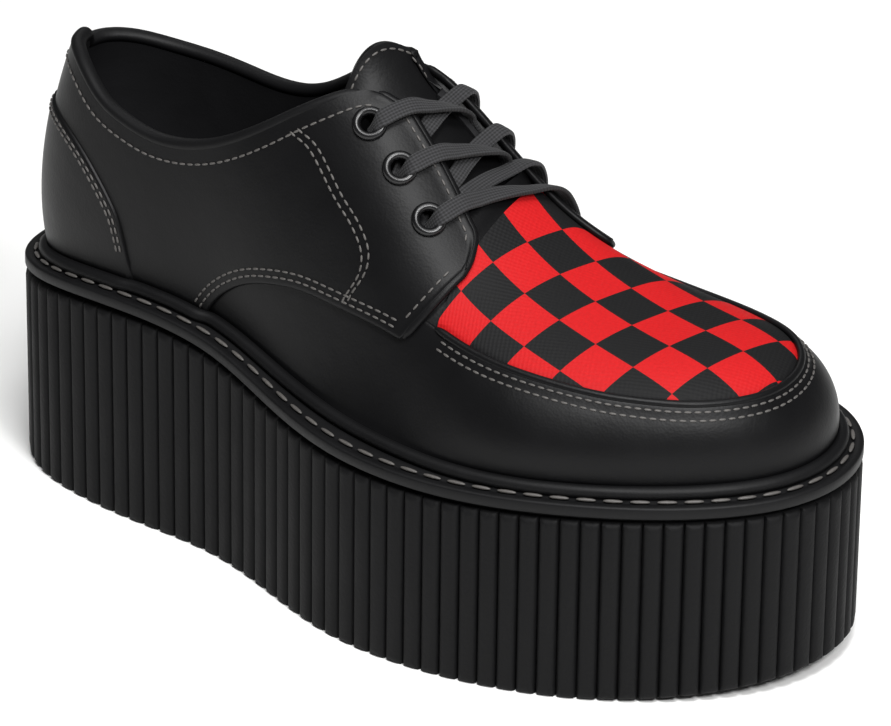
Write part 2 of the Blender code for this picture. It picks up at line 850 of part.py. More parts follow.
def make_tongue(sides, finish):
    """A leather flap under the facings, its root below the vamp, its free end lifted a little."""
    places = [row[0] for row in TONGUE_LATERAL]
    along = np.interp(np.linspace(0, 1, 13), np.linspace(0, 1, len(places)), places)
    across_count = 8
    points = []
    for offset in (-WALL - TONGUE_DEPTH, -WALL - TONGUE_DEPTH - TONGUE_THICKNESS):
        for where in along:
            low, high = (across(spline(table, 1, where)) for table in (TONGUE_LATERAL, TONGUE_MEDIAL))
            for y in np.linspace(low, high, across_count):
                point = surface_point(sides, where, float(y), offset)
                points.append(point + np.array([0, 0, curl(point, where)]))
    faces = []
    count, base = len(along), len(along) * across_count
    for i in range(count - 1):
        for k in range(across_count - 1):
            a, b = i * across_count + k, i * across_count + k + 1
            c, d = b + across_count, a + across_count
            faces += [(a, d, c, b), (base + a, base + b, base + c, base + d)]
    rim = [k for k in range(across_count)]
    rim += [i * across_count + across_count - 1 for i in range(1, count)]
    rim += [(count - 1) * across_count + k for k in range(across_count - 2, -1, -1)]
    rim += [i * across_count for i in range(count - 2, 0, -1)]
    for a, b in zip(rim, rim[1:] + rim[:1]):
        faces.append((a, b, base + b, base + a))
    return make_object("tongue", points, faces, finish)


def tube(name, path, frames, section, finish):
    """A solid swept along a path, its section given in each frame's two directions."""
    size = len(section)
    points = []
    for centre_point, (wide, high) in zip(path, frames):
        points += [centre_point + wide * a + high * b for a, b in section]
    faces = []
    for i in range(len(path) - 1):
        for k in range(size):
            m = (k + 1) % size
            faces.append((i * size + k, i * size + m, (i + 1) * size + m, (i + 1) * size + k))
    faces.append(tuple(range(size)))
    faces.append(tuple(range(len(path) * size - 1, (len(path) - 1) * size - 1, -1)))
    return make_object(name, points, faces, finish, 60)


def make_binding(sides, finish):
    """Rolled edge on top of the collar, from one facing's corner round the heel to the other."""
    lateral, medial = sides
    path, frames = [], []
    middle = (PANEL_GAP + LEATHER - WALL) / 2
    steps = []
    for side, table, facing in ((medial, TOPLINE_MEDIAL, FACING_MEDIAL), (lateral, TOPLINE_LATERAL, FACING_LATERAL)):
        found = []
        for column in range(len(side.x)):
            if place(side.x[column]) > facing[0][0] - 0.012:
                break
            found.append((side, column, side.level(column, table)))
        steps.append(found)
    run = steps[0][:0:-1] + steps[1]
    radius = BINDING_DIAMETER / 2
    for side, column, height in run:
        edge = side.at(column, height, middle)
        below = side.at(column, height - 0.02, middle)
        up = (edge - below) / np.linalg.norm(edge - below)
        path.append(edge + up * (radius + 2.5 * GAP))
        frames.append(up)
    path = np.array(path)
    along = np.gradient(path, axis=0)
    pairs = []
    for direction, up in zip(along, frames):
        wide = np.cross(direction, up)
        wide /= np.linalg.norm(wide)
        high = np.cross(wide, direction)
        pairs.append((wide, high / np.linalg.norm(high)))
    turn = [math.tau * k / 6 + math.pi / 6 for k in range(6)]
    section = [(radius * math.cos(t), radius * math.sin(t)) for t in turn]
    return tube("collar_binding", path, pairs, section, finish)


def eyelet_seat(sides, number, lateral):
    """Centre and outward normal of an eyelet on a facing."""
    side = sides[0] if lateral else sides[1]
    where = (EYELETS_LATERAL if lateral else EYELETS_MEDIAL)[number]
    facing = FACING_LATERAL if lateral else FACING_MEDIAL
    column = side.column(where)
    height = side.width(column, facing) - EYELET_BACKSET / side.length(column)
    inner, outer = (side.at(column, height, d) for d in (0.0, 0.001))
    normal = (outer - inner) / np.linalg.norm(outer - inner)
    return inner + normal * (PANEL_GAP + LEATHER + GAP + 0.0004), normal


def make_eyelet(name, sides, number, lateral, finish):
    seat, normal = eyelet_seat(sides, number, lateral)
    hole, rim = EYELET_HOLE / 2, EYELET_DIAMETER / 2
    profile = [(hole, 0), (rim, 0), (rim, EYELET_HEIGHT * 0.5), (rim - 0.0010, EYELET_HEIGHT),
               (hole, EYELET_HEIGHT)]
    wide = np.cross(normal, (0, 0, 1.0))
    wide /= np.linalg.norm(wide)
    deep = np.cross(normal, wide)
    sections = []
    for k in range(EYELET_SIDES):
        turn = math.tau * k / EYELET_SIDES
        way = wide * math.cos(turn) + deep * math.sin(turn)
        sections.append([seat + way * r + normal * h for r, h in profile])
    return ring_band(name, sections, finish, 30)


# Lace straps from a lateral eyelet to a medial one, and the height of each over the tongue
STRAPS = (
    # lateral eyelet, medial eyelet, lift
    (0, 1, 0.00020),
    (1, 2, 0.00005),
    (2, 3, 0.00030),
    (0, 0, -0.00010),
    (1, 1, -0.00025),
    (2, 2, -0.00015),
)


def strap(sides, start, end, lift, finish):
    """A flat lace from over one eyelet, down across the tongue, to over the other."""
    begin, first = eyelet_seat(sides, start, True)
    finish_point, second = eyelet_seat(sides, end, False)
    steps = 11
    path = []
    for k in range(steps):
        t = k / (steps - 1)
        where = place(begin[0] * (1 - t) + finish_point[0] * t)
        y = begin[1] * (1 - t) + finish_point[1] * t
        low = across(spline(FACING_LATERAL, 1, where)) + 0.0020
        high = across(spline(FACING_MEDIAL, 1, where)) - 0.0020
        inside = np.clip(min(y - low, high - y) / 0.007, 0, 1)
        over = EYELET_HEIGHT + PANEL_GAP + LEATHER + 0.0019 + LACE_THICKNESS / 2
        deep = -WALL + 2 * GAP + LACE_THICKNESS / 2 + 0.0012
        dip = float(np.interp(where, (THROAT_FRONT - 0.042, THROAT_FRONT - 0.022), (deep, 1.7 * LACE_THICKNESS)))
        offset = over + (dip - over) * inside * inside * (3 - 2 * inside) + lift
        path.append(surface_point(sides, where, y, offset))
    path = np.array(path)
    along = np.gradient(path, axis=0)
    pairs = []
    for point, direction in zip(path, along):
        t = np.clip((point[1] - begin[1]) / (finish_point[1] - begin[1]), 0, 1)
        up = first * (1 - t) + second * t
        wide = np.cross(direction, up)
        wide /= np.linalg.norm(wide)
        high = np.cross(wide, direction)
        pairs.append((wide, high / np.linalg.norm(high)))
    w, h = LACE_WIDTH / 2, LACE_THICKNESS / 2
    return tube("strap", path, pairs, [(-w, -h), (w, -h), (w, h), (-w, h)], finish)


def make_laces(sides, finish):
    straps = [strap(sides, *row, finish) for row in STRAPS]
    laces = straps[0]
    laces.name = "laces"
    for other in straps[1:]:
        union = laces.modifiers.new("union", "BOOLEAN")
        union.operation = "UNION"
        union.solver = "EXACT"
        union.object = other
        other.hide_render = True
        other.display_type = "WIRE"
    return laces


def main():
    for old in list(bpy.data.objects):
        bpy.data.objects.remove(old)
    rubber = material("rubber", (0.012, 0.012, 0.013), 0.72)
    leather = material("leather", (0.018, 0.018, 0.019), 0.42)
    edge = material("edge_leather", (0.010, 0.010, 0.011), 0.5)
    check = material("check", (0.45, 0.02, 0.02), 0.6)
    lining = material("lining", (0.02, 0.02, 0.02), 0.8)
    metal = material("black_metal", (0.02, 0.02, 0.02), 0.3, 1.0)
    cord = material("lace", (0.015, 0.015, 0.015), 0.8)
    specials = (COUNTER[4][0], COUNTER[5][0], COUNTER[-1][0], COUNTER[-1][0] + COUNTER_LAP, ARCH_LATERAL[0][0],
                THROAT_FRONT, VAMP_BACK, RECESS_BACK, APRON_BACK, FACING_LATERAL[-1][0],
                NOSE_MEDIAL[0][0], NOSE_MEDIAL[1][0], FACING_MEDIAL[-1][0])
    x, lateral_y, medial_y = feather_columns(specials)
    sides = Side(x, lateral_y, -1), Side(x, medial_y, 1)
    make_outsole(rubber)
    make_welt(sides, edge)
    make_insole(sides, lining)
    make_upper(sides, leather)
    make_apron(sides, check)
    make_quarter("quarter_lateral", sides[0], leather)
    make_quarter("quarter_medial", sides[1], leather)
    make_counter(sides, leather)
    make_binding(sides, edge)
    make_tongue(sides, leather)
    for number in range(len(EYELETS_LATERAL)):
        make_eyelet("eyelet_lateral_%d" % (number + 1), sides, number, True, metal)
    for number in range(len(EYELETS_MEDIAL)):
        make_eyelet("eyelet_medial_%d" % (number + 1), sides, number, False, metal)
    make_laces(sides, cord)


main()
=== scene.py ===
# Creeper shoe, right foot, dressed over its CAD frame.
# Metres, +Z up, toe towards +X, the wearer's lateral side towards -Y.
import math

import bmesh
import bpy
import numpy as np
from mathutils import Matrix, Vector
from mathutils.bvhtree import BVHTree


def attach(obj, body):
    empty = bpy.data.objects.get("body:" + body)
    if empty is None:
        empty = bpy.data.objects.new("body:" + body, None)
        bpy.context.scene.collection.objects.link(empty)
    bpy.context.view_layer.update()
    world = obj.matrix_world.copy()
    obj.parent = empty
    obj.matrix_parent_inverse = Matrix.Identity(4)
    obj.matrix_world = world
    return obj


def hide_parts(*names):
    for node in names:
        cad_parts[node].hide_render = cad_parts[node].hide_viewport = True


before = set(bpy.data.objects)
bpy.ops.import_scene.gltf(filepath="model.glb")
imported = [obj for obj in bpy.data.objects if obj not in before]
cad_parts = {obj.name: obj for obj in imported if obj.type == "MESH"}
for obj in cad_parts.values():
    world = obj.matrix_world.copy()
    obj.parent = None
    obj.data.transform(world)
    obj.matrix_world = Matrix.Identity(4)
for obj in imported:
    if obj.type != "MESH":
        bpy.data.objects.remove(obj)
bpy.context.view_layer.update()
print("frame loaded")


# the last and the platform, the same forms as the solids follow
last = {
    "length": 0.303, "ballWidth": 0.1223, "heelHeight": 0.0816, "foreHeight": 0.0702,
    "toeSpring": 0.0056, "springStart": 0.755, "featherInset": 0.0094, "heelInset": 0.0112,
    "instep": 0.106, "topline": 0.100, "wall": 0.0025, "gap": 0.0003,
    "heelTip": 0.009, "toeTip": 0.053, "heelPole": 0.131, "toePole": 0.824, "poleSoftness": 0.086,
    "columns": 200, "rows": 260, "insetStart": 0.40, "insetEase": 0.16,
    "outlineSteps": 2880, "fineRows": 400, "crowding": 1.6, "slopeStep": 0.002,
}

# platform outline: along the length, out to the lateral and the medial edge (shares of the ball width)
planTable = np.array([
    (0.012, 0.110, 0.127), (0.055, 0.213, 0.229), (0.118, 0.274, 0.291), (0.205, 0.312, 0.307),
    (0.320, 0.347, 0.283), (0.425, 0.443, 0.276), (0.520, 0.531, 0.312), (0.618, 0.558, 0.381),
    (0.705, 0.536, 0.425), (0.790, 0.475, 0.442), (0.868, 0.381, 0.427), (0.936, 0.253, 0.370),
    (0.982, 0.106, 0.253)])
# top of the platform: along, share of the rise from forefoot to heel
riseTable = np.array([
    (0.00, 0.36), (0.11, 0.82), (0.21, 1.00), (0.31, 0.77), (0.41, 0.30), (0.51, 0.07), (0.64, -0.05),
    (0.80, 0.03), (1.00, 0.03)])
# sections of the last: along, height, squareness, bulge, ridge towards the medial side, lean of the heel
sectionTable = np.array([
    (0.01, 0.925, 2.60, 0.130, 0.000, 0.40), (0.11, 0.953, 3.00, 0.120, 0.000, 0.17),
    (0.21, 0.972, 3.10, 0.080, 0.000, 0.02), (0.28, 0.981, 2.90, 0.050, 0.004, 0.00),
    (0.34, 1.000, 2.35, 0.020, 0.020, 0.00), (0.41, 0.981, 2.00, -0.050, 0.057, 0.00),
    (0.50, 0.858, 1.95, -0.120, 0.106, 0.00), (0.57, 0.675, 1.95, -0.100, 0.131, 0.00),
    (0.62, 0.555, 2.05, -0.040, 0.131, 0.00), (0.72, 0.413, 2.65, 0.050, 0.086, 0.00),
    (0.80, 0.358, 2.95, 0.070, 0.033, 0.00), (0.88, 0.335, 3.00, 0.050, 0.000, 0.00),
    (0.94, 0.321, 2.90, 0.040, -0.008, 0.00), (1.00, 0.289, 2.60, 0.020, -0.008, 0.00)])
# lines on the side view: along, height as a share of the topline height
toplines = {
    -1: np.array([
        (0.000, 0.728), (0.095, 0.715), (0.138, 0.625), (0.178, 0.578), (0.214, 0.557), (0.257, 0.570),
        (0.293, 0.613), (0.329, 0.683), (0.362, 0.763), (0.390, 0.834), (0.417, 0.891), (0.435, 0.921),
        (0.452, 0.932), (0.480, 0.905)]),
    1: np.array([
        (0.000, 0.728), (0.080, 0.690), (0.122, 0.640), (0.174, 0.603), (0.227, 0.585), (0.280, 0.595),
        (0.329, 0.660), (0.375, 0.780), (0.415, 0.885), (0.440, 0.928), (0.460, 0.940), (0.490, 0.915)]),
}
arches = {
    -1: np.array([
        (0.288, 0.000), (0.302, 0.070), (0.328, 0.165), (0.356, 0.235), (0.391, 0.290), (0.425, 0.322),
        (0.466, 0.331), (0.534, 0.325), (0.567, 0.315)]),
    1: np.array([
        (0.288, 0.000), (0.302, 0.070), (0.328, 0.165), (0.356, 0.235), (0.391, 0.290), (0.425, 0.322),
        (0.466, 0.331), (0.560, 0.325), (0.630, 0.310)]),
}
counterTable = np.array([
    (0.000, 0.555), (0.068, 0.530), (0.111, 0.465), (0.146, 0.370), (0.169, 0.280), (0.179, 0.215),
    (0.186, 0.130), (0.193, 0.030)])
# lines on the plan: along, towards the medial side as a share of the ball width
facings = {
    -1: np.array([
        (0.462, -0.030), (0.479, -0.038), (0.510, -0.057), (0.531, -0.068), (0.549, -0.080),
        (0.568, -0.097), (0.585, -0.116), (0.596, -0.140), (0.604, -0.200)]),
    1: np.array([
        (0.470, 0.100), (0.505, 0.125), (0.539, 0.143), (0.577, 0.163), (0.613, 0.185), (0.646, 0.206),
        (0.663, 0.216), (0.672, 0.228)]),
}
noses = {
    -1: np.array([(0.567, -0.355), (0.580, -0.331), (0.595, -0.273), (0.604, -0.212)]),
    1: np.array([(0.630, 0.285), (0.650, 0.268), (0.664, 0.252), (0.672, 0.242)]),
}
apronEdges = {
    -1: np.array([
        (0.560, -0.325), (0.600, -0.333), (0.632, -0.345), (0.684, -0.357), (0.730, -0.350),
        (0.773, -0.329), (0.813, -0.296), (0.850, -0.249), (0.883, -0.190), (0.913, -0.114),
        (0.930, -0.034), (0.936, 0.045)]),
    1: np.array([
        (0.560, 0.240), (0.632, 0.262), (0.684, 0.288), (0.730, 0.305), (0.773, 0.312), (0.813, 0.305),
        (0.850, 0.285), (0.883, 0.250), (0.913, 0.195), (0.930, 0.125), (0.936, 0.045)]),
}


def spline(table, column, at):
    # cubic curve through one column of a table
    knots, values = table[:, 0], table[:, column]
    steps = np.diff(knots)
    slopes = np.diff(values) / steps
    count = len(knots)
    matrix = np.eye(count)
    right = np.zeros(count)
    for i in range(1, count - 1):
        matrix[i, i - 1:i + 2] = steps[i - 1], 2 * (steps[i - 1] + steps[i]), steps[i]
        right[i] = 6 * (slopes[i] - slopes[i - 1])
    bend = np.linalg.solve(matrix, right)
    at = np.clip(np.asarray(at, float), knots[0], knots[-1])
    i = np.clip(np.searchsorted(knots, at, side="right") - 1, 0, count - 2)
    step = steps[i]
    t = at - knots[i]
    u = step - t
    return ((bend[i] * u ** 3 + bend[i + 1] * t ** 3) / (6 * step)
            + (values[i] / step - bend[i] * step / 6) * u
            + (values[i + 1] / step - bend[i + 1] * step / 6) * t)


def runOf(points):
    # length travelled along a line, at each of its points
    return np.r_[0, np.cumsum(np.linalg.norm(np.diff(points, axis=0), axis=1))]


def easedLine(points, passes=1):
    # inner points drawn towards their neighbours
    points = np.array(points)
    for _ in range(passes):
        points[1:-1] = (points[:-2] + 2 * points[1:-1] + points[2:]) / 4
    return points


def closedSpline(points, count):
    # closed smooth curve at equal steps along its length
    gaps = np.linalg.norm(np.roll(points, -1, 0) - points, axis=1)
    size = len(points)
    matrix = np.zeros((size, size))
    right = np.zeros((size, 2))
    for i in range(size):
        j = (i + 1) % size
        matrix[i, i - 1] += gaps[i - 1]
        matrix[i, i] += 2 * (gaps[i - 1] + gaps[i])
        matrix[i, j] += gaps[i]
        right[i] = 6 * ((points[j] - points[i]) / gaps[i] - (points[i] - points[i - 1]) / gaps[i - 1])
    bend = np.linalg.solve(matrix, right)
    dense = []
    for i in range(size):
        j = (i + 1) % size
        for t in np.linspace(0, gaps[i], 60, endpoint=False):
            u = gaps[i] - t
            dense.append((bend[i] * u ** 3 + bend[j] * t ** 3) / (6 * gaps[i])
                         + (points[i] / gaps[i] - bend[i] * gaps[i] / 6) * u
                         + (points[j] / gaps[i] - bend[j] * gaps[i] / 6) * t)
    dense = np.array(dense + dense[:1])
    run = runOf(dense)
    at = np.linspace(0, run[-1], count, endpoint=False)
    return np.c_[np.interp(at, run, dense[:, 0]), np.interp(at, run, dense[:, 1])]


axisShift = (planTable[:, 2].max() - planTable[:, 1].max()) / 2 * last["ballWidth"]


def platformLine(count):
    # outline of the platform from the heel tip round the lateral side
    lateral = planTable[:, [0, 1]] * (last["length"], -last["ballWidth"])
    medial = planTable[:, [0, 2]] * (last["length"], last["ballWidth"])
    heel = [(0.0, last["heelTip"] * last["ballWidth"])]
    toe = [(last["length"], last["toeTip"] * last["ballWidth"])]
    line = closedSpline(np.vstack([heel, lateral, toe, medial[::-1]]), count)
    return line - (last["length"] / 2, axisShift)


def outward(line):
    along = np.roll(line, -1, 0) - np.roll(line, 1, 0)
    along /= np.linalg.norm(along, axis=1)[:, None]
    return np.c_[along[:, 1], -along[:, 0]]


def share(x):
    return np.clip(np.asarray(x) / last["length"] + 0.5, 0, 1)


def acrossTo(value):
    return np.asarray(value) * last["ballWidth"] - axisShift


def platformTop(x):
    rise = last["heelHeight"] - last["foreHeight"]
    return last["foreHeight"] + rise * spline(riseTable, 1, share(x))


def platformBottom(x):
    past = np.clip((share(x) - last["springStart"]) / (1 - last["springStart"]), 0, 1)
    return last["toeSpring"] * past ** 2


def smooth(value):
    value = np.clip(value, 0, 1)
    return value * value * (3 - 2 * value)


def featherInset(x):
    heel = smooth((last["insetStart"] - share(x)) / last["insetEase"])
    return last["featherInset"] + (last["heelInset"] - last["featherInset"]) * heel


def featherColumns():
    # feather points in pairs that share one x: x, lateral y, medial y
    line = platformLine(last["outlineSteps"])
    line = line - outward(line) * featherInset(line[:, 0])[:, None]
    heel, toe = line[:, 0].argmin(), line[:, 0].argmax()
    middle, half = (line[heel, 0] + line[toe, 0]) / 2, (line[toe, 0] - line[heel, 0]) / 2
    turned = np.roll(line, -heel, 0)
    toe = turned[:, 0].argmax()
    angle = np.arccos(np.clip((middle - turned[:, 0]) / half, -1, 1))
    wanted = np.linspace(0, math.pi, last["columns"] + 1)
    lateral = np.interp(wanted, angle[:toe + 1], turned[:toe + 1, 1])
    medial = np.interp(wanted, angle[toe:][::-1], turned[toe:, 1][::-1])
    medial[0], medial[-1] = lateral[0], lateral[-1]
    return middle - half * np.cos(wanted), lateral, medial


def ridgePlace(x):
    # a column's own x, eased to a stop at the heel and toe poles
    soft = last["poleSoftness"]

    def ease(value, stop):
        past = np.clip(value - stop + soft, 0, 2 * soft)
        return np.where(value - stop > soft, value, stop + past ** 2 / (4 * soft))
    eased = -ease(-ease(x / last["length"] + 0.5, last["heelPole"]), -last["toePole"])
    return (eased - 0.5) * last["length"]


class LastSide:
    # one side of the last as a net of points and normals: columns heel to toe, rows feather to ridge
    def __init__(self, x, y, hand):
        self.x, self.hand = x, hand
        turn = math.pi / 2 * np.linspace(0, 1, last["fineRows"])[None, :] ** last["crowding"]
        place = share(x)[:, None]
        endX = ridgePlace(x)[:, None]
        endY = acrossTo(spline(sectionTable, 4, share(endX)))
        power = 2 / spline(sectionTable, 2, place)
        rise = np.sin(turn) ** power
        reach = np.clip(np.cos(turn), 0, 1) ** power
        reach = reach * (1 + spline(sectionTable, 3, place) * np.sin(math.pi * rise ** 0.65))
        reach = reach * (1 - spline(sectionTable, 5, place) * rise ** 2)
        px = endX + reach * (x[:, None] - endX)
        py = endY + reach * (y[:, None] - endY)
        pz = platformTop(px) + last["gap"] + last["instep"] * spline(sectionTable, 1, share(px)) * rise
        fine = np.stack([px, py, pz], axis=2)
        step = np.linalg.norm(np.diff(fine, axis=1), axis=2)
        run = np.concatenate([np.zeros((len(x), 1)), np.cumsum(step, axis=1)], axis=1)
        self.size = run[:, -1].copy()
        rows = np.linspace(0, 1, last["rows"])
        self.points = np.array([
            np.stack([np.interp(rows, run[k] / run[k, -1], fine[k, :, i]) for i in range(3)], axis=1)
            for k in range(len(x))])
        along = np.gradient(self.points, axis=0)
        along[0], along[-1] = (0, hand, 0), (0, -hand, 0)
        self.normals = np.cross(along, np.gradient(self.points, axis=1)) * -hand
        slopeX = self.points[:, -1, 0]
        high = [platformTop(slopeX + d) + last["instep"] * spline(sectionTable, 1, share(slopeX + d))
                for d in (-last["slopeStep"], last["slopeStep"])]
        self.normals[:, -1] = np.stack(
            [-(high[1] - high[0]) / (2 * last["slopeStep"]), np.zeros(len(x)), np.ones(len(x))], axis=1)
        length = np.linalg.norm(self.normals, axis=2, keepdims=True)
        self.normals /= np.where(length < 1e-15, 1, length)

    def columnAt(self, place):
        return np.interp((np.asarray(place) - 0.5) * last["length"], self.x, np.arange(len(self.x)))

    def placeOf(self, column):
        return share(np.interp(column, np.arange(len(self.x)), self.x))

    def sizeOf(self, column):
        return np.interp(column, np.arange(len(self.x)), self.size)

    def read(self, net, column, height):
        column = np.clip(np.asarray(column, float), 0, len(self.x) - 1.0001)
        row = np.clip(np.asarray(height, float), 0, 1) * (last["rows"] - 1)
        k, m = column.astype(int), np.minimum(row.astype(int), last["rows"] - 2)
        a, b = (column - k)[:, None], (row - m)[:, None]
        return ((1 - a) * (1 - b) * net[k, m] + a * (1 - b) * net[k + 1, m]
                + (1 - a) * b * net[k, m + 1] + a * b * net[k + 1, m + 1])

    def at(self, column, height, offset=0.0):
        column, height, offset = np.broadcast_arrays(
            np.atleast_1d(column), np.atleast_1d(height), np.atleast_1d(offset))
        normal = self.read(self.normals, column, height)
        normal /= np.linalg.norm(normal, axis=1)[:, None]
        return self.read(self.points, column, height) + normal * offset[:, None]

    def crossings(self, columns, value):
        # share of each column where value(points) first turns positive
        found = []
        rows = np.linspace(0, 1, last["rows"])
        for column in np.atleast_1d(columns):
            v = value(self.read(self.points, np.full(len(rows), column), rows))
            hits = np.nonzero((v[1:] >= 0) & (v[:-1] < 0))[0]
            if len(hits):
                i = hits[0]
                found.append(rows[i] + (rows[i + 1] - rows[i]) * v[i] / (v[i] - v[i + 1]))
            else:
                found.append(0.0 if v[0] >= 0 else 1.0)
        return np.array(found)

    def level(self, columns, table):
        return self.crossings(columns, lambda p: p[:, 2] - platformTop(p[:, 0]) - last["gap"]
                              - last["topline"] * spline(table, 1, share(p[:, 0])))

    def width(self, columns, table):
        return self.crossings(columns, lambda p: self.inside(table, p))

    def inside(self, table, p):
        # how far points lie inside a line on the plan
        return (acrossTo(spline(table, 1, share(p[:, 0]))) - p[:, 1]) * self.hand

    def apronLine(self, columns):
        table = apronEdges[self.hand]
        return self.crossings(columns, lambda p: np.minimum(
            self.inside(table, p), (table[-1, 0] - share(p[:, 0])) * last["length"]))


featherX, lateralY, medialY = featherColumns()
sides = {-1: LastSide(featherX, lateralY, -1), 1: LastSide(featherX, medialY, 1)}
columnEnd = float(last["columns"])
throat = {"front": 0.582, "apronBack": 0.6000}


def surfacePoint(place, y, offset):
    # point over a spot on the plan, set off along the last's normal
    ridge = float(acrossTo(spline(sectionTable, 4, np.array([place])))[0])
    side = sides[-1] if y < ridge else sides[1]
    column = float(side.columnAt(place))
    rows = np.linspace(0, 1, last["rows"])
    ys = side.read(side.points, np.full(len(rows), column), rows)[:, 1] * -side.hand
    order = np.maximum.accumulate(ys)
    height = float(np.interp(y * -side.hand, order, rows))
    return side.at(column, height, offset)[0]


# making pieces
mergeDistance = 2e-6


def gridPiece(name, columns, rows, shape, materials):
    # a grid whose points are placed by shape(u, v), which returns points and a map in metres
    bpy.ops.object.select_all(action="DESELECT")
    bpy.ops.mesh.primitive_grid_add(x_subdivisions=columns, y_subdivisions=rows, size=1)
    piece = bpy.context.object
    piece.name = name
    mesh = piece.data
    mesh.name = name
    flat = np.empty(len(mesh.vertices) * 3)
    mesh.vertices.foreach_get("co", flat)
    flat = np.round(flat.reshape(-1, 3) + 0.5, 6)
    points, chart = shape(flat[:, 0], flat[:, 1])
    mesh.vertices.foreach_set("co", np.asarray(points, float).ravel())
    loops = np.empty(len(mesh.loops), int)
    mesh.loops.foreach_get("vertex_index", loops)
    mesh.uv_layers.active.data.foreach_set("uv", np.asarray(chart, float)[loops].ravel())
    for material in materials:
        mesh.materials.append(material)
    bpy.ops.object.mode_set(mode="EDIT")
    bpy.ops.mesh.select_all(action="SELECT")
    bpy.ops.mesh.remove_doubles(threshold=mergeDistance)
    bpy.ops.mesh.normals_make_consistent(inside=False)
    bpy.ops.object.mode_set(mode="OBJECT")
    bpy.ops.object.shade_smooth()
    return piece


def faceOutward(piece, core):
    # an open shell's faces look away from core(x)
    total = 0.0
    for face in piece.data.polygons:
        total += face.normal.dot(face.center - core(face.center)) * face.area
    if total < 0:
        piece.data.flip_normals()


def lastCore(point):
    return Vector((min(max(point.x, -0.10), 0.10), 0.006, 0.100))


def selectOnly(*pieces):
    bpy.ops.object.select_all(action="DESELECT")
    for piece in pieces:
        piece.select_set(True)
    bpy.context.view_layer.objects.active = pieces[0]


def applyModifier(piece, kind, **settings):
    selectOnly(piece)
    modifier = piece.modifiers.new(kind.lower(), kind)
    for key, value in settings.items():
        setattr(modifier, key, value)
    bpy.ops.object.modifier_apply(modifier=modifier.name)


def wallPiece(piece, thickness, liningSlot=0):
    faceOutward(piece, lastCore)
    applyModifier(piece, "SOLIDIFY", thickness=thickness, offset=-1, use_rim=True,
                  material_offset=liningSlot, material_offset_rim=0)


def treeOf(*pieces):
    points, faces = [], []
    for piece in pieces:
        base = len(points)
        points += [v.co.copy() for v in piece.data.vertices]
        faces += [tuple(base + i for i in f.vertices) for f in piece.data.polygons]
    return BVHTree.FromPolygons(points, faces)


def joinPieces(name, pieces):
    selectOnly(*pieces)
    bpy.ops.object.join()
    pieces[0].name = name
    pieces[0].data.name = name
    return pieces[0]


def finishPiece(piece, slot, *nodes, sharp=50):
    selectOnly(piece)
    bpy.ops.object.shade_smooth_by_angle(angle=math.radians(sharp))
    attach(piece, "root")
    if nodes:
        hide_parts(*nodes)
    return piece


def taper(count, first, width):
    # 1 along a tube's length, rounded off over a few steps at both ends
    steps = np.arange(count)
    return roundEdge(np.minimum(steps, steps[::-1]) + first, width)


def ringTurn(count):
    return np.linspace(0, math.tau, count, endpoint=False)


def roundEdge(distance, width):
    # 0 at an edge, 1 past the width, on a quarter circle
    past = 1 - np.clip(np.asarray(distance) / width, 0, 1)
    return np.sqrt(1 - past ** 2)


def graded(v, power=1.7):
    # steps that are finer at both ends
    v = np.asarray(v, float)
    return np.where(v < 0.5, 0.5 * (2 * v) ** power, 1 - 0.5 * (2 * (1 - v)) ** power)


# materials
def linear(text):
    # sRGB hex to linear colour
    parts = [int(text[i:i + 2], 16) / 255 for i in (1, 3, 5)]
    return tuple(c / 12.92 if c <= 0.04045 else ((c + 0.055) / 1.055) ** 2.4 for c in parts) + (1.0,)


def addNode(tree, kind, settings=(), inputs=()):
    # inputs: (socket, value) or (socket, (node, output))
    node = tree.nodes.new(kind)
    for key, value in dict(settings).items():
        setattr(node, key, value)
    for key, value in dict(inputs).items():
        if isinstance(value, tuple) and isinstance(value[0], bpy.types.Node):
            tree.links.new(value[0].outputs[value[1]], node.inputs[key])
        else:
            node.inputs[key].default_value = value
    return node


def newMaterial(name, sockets):
    made = bpy.data.materials.new(name)
    made.use_nodes = True
    shader = made.node_tree.nodes["Principled BSDF"]
    for key, value in sockets.items():
        shader.inputs[key].default_value = value
    return made, made.node_tree, shader


def noiseNode(tree, coords, scale, detail):
    return addNode(tree, "ShaderNodeTexNoise", {}, {"Vector": coords, "Scale": scale, "Detail": detail})


def mixNode(tree, factor, first, second):
    return addNode(tree, "ShaderNodeMix", {"data_type": "RGBA"}, {0: factor, 6: first, 7: second})


def mathNode(tree, operation, first, second=0.5):
    return addNode(tree, "ShaderNodeMath", {"operation": operation}, {0: first, 1: second})


def bumpNode(tree, strength, distance, height, **more):
    return addNode(tree, "ShaderNodeBump", {},
                   {"Strength": strength, "Distance": distance, "Height": height, **more})


def mottled(tree, shader, coords, dark, light, scale, low, high):
    # colour and roughness that wander slowly over the surface
    cloud = noiseNode(tree, coords, scale, 3.0)
    mix = mixNode(tree, (cloud, "Fac"), linear(dark), linear(light))
    rough = addNode(tree, "ShaderNodeMapRange", {}, {"Value": (cloud, "Fac"), "To Min": low, "To Max": high})
    tree.links.new(mix.outputs[2], shader.inputs["Base Color"])
    tree.links.new(rough.outputs[0], shader.inputs["Roughness"])


